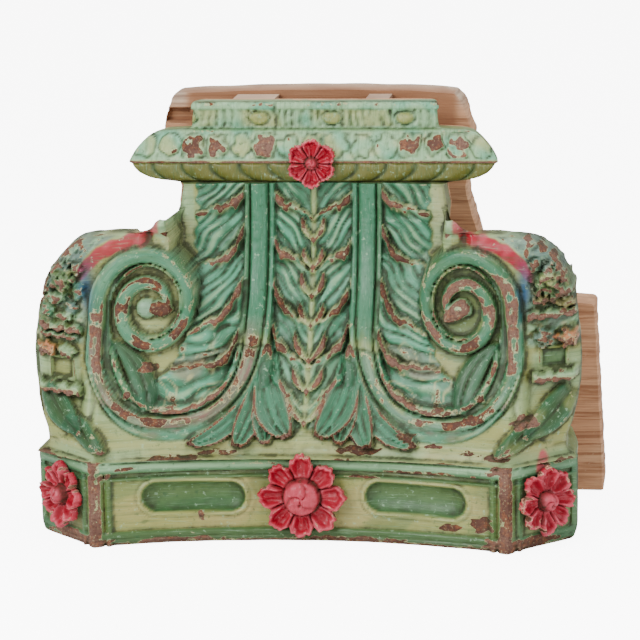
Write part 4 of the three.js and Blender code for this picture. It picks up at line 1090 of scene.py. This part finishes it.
def flowerPiece(name, size):
    # height over polar rings: petals rise from the bud, cup between their rims and fall into grooves
    count, rings = 216, 58
    petals = size["petals"]
    a = np.linspace(0, 2 * math.pi, count, endpoint=False)[None, :]
    pitch = 2 * math.pi / petals
    k = np.round(a / pitch).astype(int) % petals
    s = ((a / pitch + 0.5) % 1.0 - 0.5) * 2
    reach = np.array(size["reach"])[k]
    nicks = 0.018 * np.sin(23 * a + size["seed"]) + 0.018 * np.sin(41 * a)
    nicks = nicks - 0.03 * np.abs(np.sin(2.5 * a + size["seed"]))
    petalTip = 0.035 * hill(s - 0.1, 0.16) - size["between"] * np.abs(s) ** 2.6
    radius = size["radius"] * reach * (0.97 + petalTip + nicks)
    share = (np.linspace(0.0, 1.0, rings)[:, None]) ** 0.85
    r = radius * share
    u, v = r * np.sin(a), r * np.cos(a)
    boss = size["boss"]
    t = np.clip((r - boss * 0.92) / (radius - boss * 0.92), 0.0, 1.0)
    cup = np.sin(math.pi * np.clip(t * 0.92, 0, 1)) ** 0.8 * (1 - np.abs(s) ** 2.2)
    sideRim = hill(np.abs(s) - 0.74, 0.13) * ease(0.15, 0.5, t)
    rims = np.maximum(sideRim, hill(t - 0.86, 0.1) * ease(1.0, 0.8, np.abs(s)))
    groove = hill(np.abs(s) - 1.0, 0.07 + 0.05 * (1 - t)) * ease(1.0, 0.75, t)
    rise = 0.38 + 0.26 * t ** 1.3 - 0.34 * cup + 0.17 * rims - 0.24 * groove - 0.30 * ease(0.93, 1.0, t) ** 2
    rise = rise + 0.15 * s * ease(0.1, 0.4, t) + 0.05 * np.where(k % 2 == 0, 1.0, -1.0) * ease(0.2, 0.6, t)
    rise = rise + 0.045 * np.cos(s * 10) * cup + 0.05 * np.sin(5 * a + size["seed"]) * t
    if petals == 6:
        inner = np.abs(((a / pitch + 1.0) % 1.0 - 0.5) * 2)
        second = ease(0.78, 0.70, t + 0.16 * inner ** 2.5)
        rise = rise + second * (0.2 - 0.16 * hill(inner - 1, 0.14) + 0.1 * hill(inner - 0.7, 0.15) * t)
    dome = rib(r, boss)
    spiral = np.abs(np.sin(1.5 * a + 2.6 * (r / boss) ** 0.8 + 0.7)) ** 0.5
    budTop = (0.58 + 0.42 * dome) + 0.14 * (spiral - 0.85) * ease(boss, boss * 0.6, r) * ease(0.5, 3.0, r)
    inBud = ease(boss * 1.0, boss * 0.96, r)
    rise = mixOf(rise, budTop, inBud) - 0.14 * hill(r - boss * 1.02, 1.7)
    nail = hill(np.hypot(u + 1.5, v + 0.35 * boss), 1.7)
    rise = rise - 0.16 * nail * (petals == 8)
    rise = rise + 0.03 * lumps(u, v, 13, size["seed"]) + 0.016 * lumps(u, v, 5, size["seed"] + 1)
    height = np.clip(rise, 0.07, 1.0) * size["height"]
    rings3 = np.stack([u, v, height], -1)
    low = np.stack([u[-1] * 0.97, v[-1] * 0.97, height[-1] * 0.4], -1)[None]
    base = np.stack([u[-1] * 0.9, v[-1] * 0.9, height[-1] * 0.0], -1)[None]
    local = np.concatenate([rings3[1:], low, base], 0)
    rows = local.shape[0]
    local = local.reshape(-1, 3)
    yaw = math.radians(size["yaw"])
    side = np.array([math.cos(yaw), math.sin(yaw), 0.0])
    out = np.array([math.sin(yaw), -math.cos(yaw), 0.0])
    up = np.array([0.0, 0.0, 1.0])
    at = np.array(size["at"]) * mm + np.array([0, frontY, 0])
    tipPoint = np.array([[0.0, 0.0, height[0].mean()], [0.0, 0.0, 0.0]])
    local = np.concatenate([local, tipPoint], 0) * mm
    points = at + local[:, :1] * side + local[:, 1:2] * up + local[:, 2:3] * out
    total = rows * count
    c = np.arange(count)
    c2 = (c + 1) % count
    faces = gridFaces(rows, count, wrapCols=True)[:, ::-1].tolist()
    end = (rows - 1) * count
    first = np.stack([np.full(count, total), c2, c], -1)[:, ::-1].tolist()
    last = np.stack([np.full(count, total + 1), end + c, end + c2], -1)[:, ::-1].tolist()
    deep = np.clip(0.25 + cup * 1.7 + groove * 0.6 - 0.8 * rims - 0.5 * ease(0, -1, v / size["radius"])
                   + 0.45 * lumps(u, v, size["radius"] * 0.35, size["seed"] + 4), 0, 1)
    color = mixOf(paint["pink"], paint["red"], deep[..., None])
    budShade = mixOf(paint["red"], paint["pink"], 0.7 * ease(0.35, 0.95, spiral)[..., None])
    color = mixOf(color, mixOf(budShade, paint["rose"], 0.4), inBud[..., None])
    wear = 0.3 * rims + 0.32 * ease(0.9, 1.0, t) + 0.12 + 0.12 * lumps(u, v, 24, size["seed"] + 2)
    wear = mixOf(wear, 0.16 + 0.1 * spiral, inBud)
    # painted shade with dirt: darker in the grooves between petals, in the ring round the bud, in the bud's
    # spiral grooves and in the nail hole
    budDirtAndShade = 0.9 * hill(r - boss * 1.02, 1.9) + nail + 0.6 * ease(0.5, 0.1, spiral) * inBud
    dirtAndShade = np.clip(groove * 0.55 * (1 - inBud) + budDirtAndShade, 0, 1)

    def spread(values):
        tail = np.repeat(values[-1:], 2, 0)
        flat = np.concatenate([values[1:], tail], 0).reshape(-1, *values.shape[2:])
        return np.concatenate([flat, values[0, :1], values[-1, :1]], 0)

    flow = np.stack([mixOf(s * 14 + 0 * r, u, inBud), mixOf(r, v, inBud), 0 * r], -1)
    layers = {"paint": spread(color), "wear": spread(wear), "dirtAndShade": spread(dirtAndShade), "flow": spread(flow),
              "raw": spread(0 * wear)}
    piece = meshPiece(name, points, faces + first + last, layers, 60.0)
    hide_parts(size["node"])
    return piece


blooms = [flowerPiece(name, size) for name, size in flowers.items()]
print("flowers done")


# The raw board behind, lofted upwards from level rings

boardLow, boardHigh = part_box("back_board")
board = {
    "frontCols": 74, "edgeCols": 9, "notchLow": 461.5, "notchHigh": 478.5, "notchIn": -163.0,
    "notchDeep": 18.0,
}
# level, distance of the board's left and right edges from the middle
boardOutline = np.array([
    (0, 345, 345), (10, 346.5, 346.5), (120, 341, 341), (232, 336, 336), (236, 333, 333), (238, 300, 300),
    (240, 240, 240), (244, 211, 214), (262, 204, 210), (300, 192, 200), (318, 188, 195.5), (343, 184, 187.5),
    (369, 181, 180.5), (381, 180, 179), (420, 188, 186), (447, 197, 187), (457, 198.5, 184), (469, 197, 180),
    (482, 192, 176.5), (490, 189, 172), (496, 184, 165),
], float)


def boardPiece():
    # level rings of the front, an edge, the back and the other edge, as wide as the outline at each level,
    # with waves, worn edges, the notch and an arched top, and painted shade on the front face near the top
    # between the webs
    tall = (boardHigh.z - boardLow.z) / mm
    y0, y1 = (boardLow.y - frontY) / mm, (boardHigh.y - frontY) / mm
    z = np.concatenate([np.linspace(0, 232, 80), np.linspace(233.5, 246, 12), np.linspace(249, 460, 74),
                        np.linspace(461, 480, 14), np.linspace(482, 495.5, 8)])[:, None]
    edges = [np.interp(z, boardOutline[:, 0], boardOutline[:, k]) - 1.0 for k in (1, 2)]
    f = np.linspace(-1, 1, board["frontCols"])[None, :]
    e = np.linspace(0, 1, board["edgeCols"] + 2)[None, 1:-1]
    x = np.concatenate([f, 1 + 0 * e, -f, -1 + 0 * e], 1) + 0 * z
    y = np.concatenate([y0 + 0 * f, mixOf(y0, y1, e), y1 + 0 * f, mixOf(y1, y0, e)], 1) + 0 * z
    level = z + 0 * x
    rag = lumps(y * 0.8 + np.sign(x) * 90, level, 30, 81) + 0.5 * lumps(y + np.sign(x) * 50, level, 9, 82)
    width = np.where(x < 0, edges[0], edges[1])
    x = x * (width - 0.8 * (1.2 + rag) * ease(0.9, 1.0, np.abs(x)))
    corner = (ease(4.5, 0, y - y0) + ease(4.5, 0, y1 - y)) * ease(width - 5, width, np.abs(x))
    x = x - np.sign(x) * corner * 2.4
    wave = 0.8 * lumps(x, level, 120, 83) + 0.3 * lumps(x * 0.2, level, 11, 84)
    y = y + (1.4 + wave) * ease(y0 + 3, y0, y) - (1.4 + wave) * ease(y1 - 3, y1, y)
    low, high, inner = board["notchLow"], board["notchHigh"], board["notchIn"]
    notch = ease(low - 1, low + 1, level) * ease(high + 1, high - 1, level) * ease(inner + 1, inner - 1, x)
    y = y + notch * ease(y0 + 8, y0 + 2, y) * board["notchDeep"]
    arch = 5.0 * (1 - (x / 183.0) ** 2) - 3.0 * ease(120, 183, x) ** 2
    level = level + ease(480, 495.5, level) * (tall - 5.0 - 495.5 + arch + 0.5 * lumps(x, y, 50, 85))
    points = np.stack([x * mm, frontY + y * mm, boardLow.z + level * mm], -1)
    points = np.clip(points, np.array(boardLow), np.array(boardHigh))
    rows, cols = x.shape
    faces = gridFaces(rows, cols, wrapCols=True).tolist()
    faces += [list(range(cols))[::-1], list(range((rows - 1) * cols, rows * cols))]
    # painted shade: the front face near the top, between the webs and behind the block, is darkened through
    # the worn layer as if in shadow
    gap = ease(y0 + 6, y0 + 2, y) * ease(420, 465, level) * ease(172, 160, np.abs(x))
    grey = ease(470, 495, level) * 0.9 * (1 - gap)
    worn = np.maximum(ease(0.6, 1.3, np.abs(rag)), 1.9 * gap)
    layers = {"grey": grey.ravel(), "worn": worn.ravel()}
    piece = meshPiece("rawBoard", points.reshape(-1, 3), faces, layers, 40.0)
    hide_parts("back_board")
    return piece


rawBoard = boardPiece()
print("board done")


# Shader building

class Shader:
    # one node tree, and short ways to add nodes to it
    def __init__(self, tree):
        self.tree = tree

    def put(self, value, socket):
        # link a socket, or set a plain value
        if isinstance(value, bpy.types.NodeSocket):
            self.tree.links.new(value, socket)
        else:
            socket.default_value = value

    def add(self, kind, values=None, **settings):
        made = self.tree.nodes.new(kind)
        for key, value in settings.items():
            setattr(made, key, value)
        for key, value in (values or {}).items():
            self.put(value, made.inputs[key])
        return made

    def math(self, operation, a, b=0.0, clamp=False):
        # one sum of two values
        return self.add("ShaderNodeMath", {0: a, 1: b}, operation=operation, use_clamp=clamp).outputs[0]

    def times(self, a, b, clamp=False):
        return self.math("MULTIPLY", a, b, clamp)

    def centred(self, value):
        # a noise's distance from its middle
        return self.math("SUBTRACT", value, 0.5)

    def total(self, first, *shares):
        # first value plus each further value times its weight
        for value, weight in shares:
            first = self.math("ADD", first, self.times(value, weight))
        return first

    def step(self, value, low, high):
        # smooth step of a value between two limits
        return self.add("ShaderNodeMapRange", {"Value": value, "From Min": low, "From Max": high},
                        interpolation_type="SMOOTHSTEP").outputs[0]

    def mix(self, factor, a, b):
        return self.add("ShaderNodeMix", {0: factor, 6: a, 7: b}, data_type="RGBA").outputs[2]

    def mixValue(self, factor, a, b):
        return self.add("ShaderNodeMix", {0: factor, 2: a, 3: b}).outputs[0]

    def layers(self, color, rows):
        # tones laid over a colour: field, its limits, strength and tone of each
        for field, low, high, much, tone in rows:
            color = self.mix(self.times(self.step(field, low, high), much), color, tone)
        return color

    def noise(self, vector, scale, detail=4.0, rough=0.55, lift=0.0):
        return self.add("ShaderNodeTexNoise", {
            "Vector": vector, "Scale": scale, "Detail": detail, "Roughness": rough, "Distortion": lift,
        }).outputs["Fac"]

    def stretched(self, vector, factors):
        # place times a factor on each axis
        return self.add("ShaderNodeVectorMath", {0: vector, 1: factors}, operation="MULTIPLY").outputs[0]

    def attribute(self, name, output="Fac"):
        return self.add("ShaderNodeAttribute", attribute_name=name).outputs[output]

    def place(self):
        return self.add("ShaderNodeTexCoord").outputs["Object"]


def newGroup(name, inputs):
    # node group with named inputs that puts out colour, roughness and height
    tree = bpy.data.node_groups.new(name, "ShaderNodeTree")
    for label, (kind, value) in inputs.items():
        socket = tree.interface.new_socket(label, in_out="INPUT", socket_type="NodeSocket" + kind)
        if value is not None:
            socket.default_value = value
    for label, kind in (("Color", "Color"), ("Roughness", "Float"), ("Height", "Float")):
        tree.interface.new_socket(label, in_out="OUTPUT", socket_type="NodeSocket" + kind)
    return Shader(tree), tree.nodes.new("NodeGroupInput").outputs, tree.nodes.new("NodeGroupOutput").inputs


def rgba(red, green, blue):
    # screen colour as a shader colour
    return (*linear(red, green, blue), 1.0)


def agedPaintGroup():
    # thick old paint over timber: streaks along the carving, chips with pale edges, bare wood, dirt and
    # painted shade
    s, given, result = newGroup("agedPaint", {
        "Place": ("Vector", None), "Flow": ("Vector", None), "Paint": ("Color", None),
        "Wear": ("Float", 0.0), "DirtAndShade": ("Float", 0.0), "Shade": ("Color", rgba(28, 76, 38)),
        "Chalk": ("Color", rgba(150, 186, 150)), "Rim": ("Color", rgba(196, 190, 138)),
        "Streaks": ("Float", 0.32),
    })
    place, flow = given["Place"], given["Flow"]
    shade, chalk, rimTone = given["Shade"], given["Chalk"], given["Rim"]
    broad = s.noise(place, 9.0, 3.0)
    patch = s.noise(place, 52.0, 9.0, 0.66, 0.5)
    grit = s.noise(place, 150.0, 6.0, 0.6)
    fleck = s.noise(place, 330.0, 3.0, 0.6)
    streak = s.noise(s.stretched(flow, (0.23, 0.028, 0.1)), 1.0, 5.0, 0.62, 0.3)
    hair = s.noise(s.stretched(flow, (0.85, 0.06, 0.1)), 1.0, 4.0, 0.6)
    color = s.layers(given["Paint"], (
        (streak, 0.52, 0.34, given["Streaks"], shade),
        (hair, 0.56, 0.72, 0.42, chalk),
        (broad, 0.47, 0.62, 0.05, chalk),
        (patch, 0.60, 0.68, 0.35, shade),
        (grit, 0.6, 0.68, 0.5, chalk),
        (grit, 0.4, 0.3, 0.55, shade),
    ))
    # where the wear and the noises together pass a limit the wood is bare, with a pale rim of paint round it
    uneven = ((s.centred(patch), 1.1), (s.centred(grit), 0.45), (s.centred(streak), 0.35))
    value = s.total(given["Wear"], *uneven)
    bare = s.step(value, 0.60, 0.64)
    rim = s.math("SUBTRACT", s.step(value, 0.52, 0.57), bare, True)
    wood = s.mix(s.step(broad, 0.42, 0.6), rgba(112, 80, 66), rgba(78, 44, 30))
    wood = s.layers(wood, (
        (grit, 0.5, 0.62, 0.4, rgba(146, 88, 52)),
        (hair, 0.5, 0.36, 0.5, rgba(70, 44, 34)),
        (fleck, 0.46, 0.34, 0.7, rgba(64, 40, 30)),
        (fleck, 0.58, 0.68, 0.3, rimTone),
    ))
    color = s.mix(s.times(rim, 0.6), color, rimTone)
    color = s.mix(bare, color, wood)
    # dirt with painted shade: the dirt-and-shade layer, broken up by patches, darkens the colour towards dark
    # olive
    grimeAndShade = s.times(given["DirtAndShade"], s.math("ADD", 0.45, s.step(patch, 0.35, 0.7)), True)
    s.put(s.mix(s.times(grimeAndShade, 0.85), color, rgba(38, 42, 18)), result["Color"])
    s.put(s.total(0.42, (bare, 0.36), (s.centred(grit), 0.35), (grimeAndShade, 0.2)), result["Roughness"])
    coat = s.times(s.math("SUBTRACT", 1.0, bare), 0.55)
    s.put(s.total(coat, (rim, 0.2), (streak, 0.75), (hair, 0.3), (grit, 0.3), (patch, 0.4)), result["Height"])
    return s.tree


def rawTimberGroup():
    # sawn softwood: long grain, saw marks across it, dents, grey weathering, and darkening for worn edges and
    # for painted shade
    s, given, result = newGroup("rawTimber", {
        "Place": ("Vector", None), "Grey": ("Float", 0.0), "WornAndShade": ("Float", 0.0),
        "Body": ("Color", rgba(198, 150, 112)), "Dark": ("Color", rgba(134, 90, 60)),
        "Light": ("Color", rgba(200, 160, 122)),
    })
    place, dark = given["Place"], given["Dark"]
    grain = s.noise(s.stretched(place, (5.0, 5.0, 130.0)), 1.0, 7.0, 0.65, 0.6)
    saw = s.noise(s.stretched(place, (9.0, 9.0, 320.0)), 1.0, 3.0, 0.7)
    broad = s.noise(s.stretched(place, (4.0, 4.0, 14.0)), 1.0, 4.0, 0.6, 0.8)
    grit = s.noise(place, 210.0, 5.0, 0.6)
    color = s.mix(s.step(broad, 0.38, 0.66), given["Body"], given["Light"])
    color = s.layers(color, (
        (grain, 0.52, 0.36, 0.85, dark),
        (saw, 0.6, 0.42, 0.35, dark),
        (grit, 0.58, 0.7, 0.3, rgba(196, 160, 128)),
    ))
    grey = s.mix(s.step(grain, 0.4, 0.62), rgba(146, 122, 104), rgba(196, 176, 152))
    color = s.mix(given["Grey"], color, grey)
    # worn edges and painted shade darken the colour towards the dark tone
    s.put(s.mix(s.times(given["WornAndShade"], 0.45), color, dark), result["Color"])
    s.put(s.total(0.72, (grit, 0.25)), result["Roughness"])
    s.put(s.total(s.times(grain, 1.1), (saw, 0.5), (grit, 0.25)), result["Height"])
    return s.tree


agedPaint = agedPaintGroup()
rawTimber = rawTimberGroup()


def newMaterial(name):
    # empty material with its surface shader's inputs
    made = bpy.data.materials.new(name)
    made.use_nodes = True
    tree = made.node_tree
    tree.nodes.clear()
    surface = tree.nodes.new("ShaderNodeBsdfPrincipled")
    output = tree.nodes.new("ShaderNodeOutputMaterial")
    tree.links.new(surface.outputs[0], output.inputs["Surface"])
    return made, Shader(tree), surface.inputs


def finish(s, surface, color, rough, height, strength, depth):
    # colour, roughness and bump of a material
    s.put(color, surface["Base Color"])
    s.put(rough, surface["Roughness"])
    bump = s.add("ShaderNodeBump", {"Strength": strength, "Distance": depth, "Height": height})
    s.put(bump.outputs[0], surface["Normal"])


def paintedMaterial(name, settings, bumpDepth=0.0011):
    # aged paint, giving way to timber along a ragged edge where the raw layer rises
    made, s, surface = newMaterial(name)
    place = s.place()
    coat = s.add("ShaderNodeGroup", {
        **settings, "Place": place, "Flow": s.attribute("flow", "Vector"),
        "Paint": s.attribute("paint", "Color"), "Wear": s.attribute("wear"), "DirtAndShade": s.attribute("dirtAndShade"),
    }, node_tree=agedPaint).outputs
    timber = s.add("ShaderNodeGroup", {"Place": place}, node_tree=rawTimber).outputs
    edge = s.total(s.attribute("raw"), (s.centred(s.noise(place, 45.0, 6.0)), 0.8))
    raw = s.step(edge, 0.46, 0.54)
    color = s.mix(raw, coat["Color"], timber["Color"])
    rough, height = (s.mixValue(raw, coat[key], timber[key]) for key in ("Roughness", "Height"))
    finish(s, surface, color, rough, height, 0.85, bumpDepth)
    s.put(0.42, surface["Specular IOR Level"])
    return made


def timberMaterial(name, values, fields=()):
    # raw timber with its own values, and with mesh layers for some inputs
    made, s, surface = newMaterial(name)
    given = {label: s.attribute(field) for label, field in fields}
    timber = s.add("ShaderNodeGroup", {"Place": s.place(), **values, **given}, node_tree=rawTimber).outputs
    finish(s, surface, timber["Color"], timber["Roughness"], timber["Height"], 0.8, 0.0012)
    return made


def dress(piece, material):
    # one material for the whole piece
    piece.data.materials.clear()
    piece.data.materials.append(material)


dress(carved, paintedMaterial("oldGreenPaint", {}))
redCoat = paintedMaterial("oldRedPaint", {
    "Shade": rgba(140, 10, 32), "Chalk": rgba(206, 112, 124), "Rim": rgba(214, 176, 142), "Streaks": 0.5,
}, 0.0008)
for bloom in blooms:
    dress(bloom, redCoat)
dress(rawBoard, timberMaterial("sawnBoard", {}, (("Grey", "grey"), ("WornAndShade", "worn"))))
webWood = timberMaterial("greyWeb", {"Grey": 0.55, "Body": rgba(150, 108, 82)})
for node in ("web_left", "web_right"):
    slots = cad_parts[node].material_slots
    if slots:
        slots[0].material = webWood
print("materials done")


# Floor, light and camera

def stageFloor():
    # pale floor that glows only for the camera, so that it reads as a plain ground
    half, level, glow = 40.0, -0.0006, 8.0
    mesh = bpy.data.meshes.new("studioFloor")
    around = ((-1, -1), (1, -1), (1, 1), (-1, 1))
    mesh.from_pydata([(half * a, half * b, level) for a, b in around], [], [(0, 1, 2, 3)])
    floor = bpy.data.objects.new("studioFloor", mesh)
    bpy.context.scene.collection.objects.link(floor)
    made, s, surface = newMaterial("paleFloor")
    s.put((0.93, 0.93, 0.925, 1), surface["Base Color"])
    s.put(0.9, surface["Roughness"])
    s.put((1, 1, 1, 1), surface["Emission Color"])
    seen = s.add("ShaderNodeLightPath").outputs["Is Camera Ray"]
    s.put(s.times(seen, glow), surface["Emission Strength"])
    mesh.materials.append(made)


stageFloor()

lights = {
    "keySoft": {"at": (-1.5, -2.3, 2.1), "size": 1.8, "power": 122.0},
    "fillSoft": {"at": (2.2, -1.9, 1.1), "size": 2.2, "power": 40.0},
    "topSoft": {"at": (0.2, 0.5, 2.6), "size": 2.0, "power": 46.0},
}
for name, size in lights.items():
    lamp = bpy.data.lights.new(name, "AREA")
    lamp.size = size["size"]
    lamp.energy = size["power"]
    holder = bpy.data.objects.new(name, lamp)
    bpy.context.scene.collection.objects.link(holder)
    holder.location = size["at"]
    holder.rotation_euler = (Vector((0, 0, 0.22)) - Vector(size["at"])).to_track_quat("-Z", "Y").to_euler()

world = bpy.data.worlds.new("studioWorld")
bpy.context.scene.world = world
world.use_nodes = True
world.node_tree.nodes["Background"].inputs["Color"].default_value = (1.0, 1.0, 1.0, 1)
world.node_tree.nodes["Background"].inputs["Strength"].default_value = 0.54

view = {
    "pitch": 11.71, "yaw": 7.23, "roll": -1.09, "away": 3.422, "target": (0.030, 0.0, 0.275), "lens": 168.75,
}


def placeCamera():
    # the camera stands away from the target along pitch and yaw, then rolls about its own line of sight
    pitch, yaw, roll = (math.radians(view[k]) for k in ("pitch", "yaw", "roll"))
    back = Vector((math.sin(yaw) * math.cos(pitch), -math.cos(yaw) * math.cos(pitch), math.sin(pitch)))
    right = Vector((math.cos(yaw), math.sin(yaw), 0.0))
    up = back.cross(right).normalized()
    sideways = right * math.cos(roll) + up * math.sin(roll)
    upright = up * math.cos(roll) - right * math.sin(roll)
    camera = bpy.data.objects.new("photoCamera", bpy.data.cameras.new("photoCamera"))
    bpy.context.scene.collection.objects.link(camera)
    camera.data.lens = view["lens"]
    camera.data.sensor_width = 36.0
    camera.data.clip_end = 20.0
    target = Vector(view["target"]) + Vector((0, frontY, 0))
    at = target + back * view["away"]
    turn = np.array([sideways, upright, back]).T
    camera.matrix_world = Matrix.Translation(at) @ Matrix(turn.tolist()).to_4x4()
    bpy.context.scene.camera = camera


placeCamera()
print("camera and lights done")
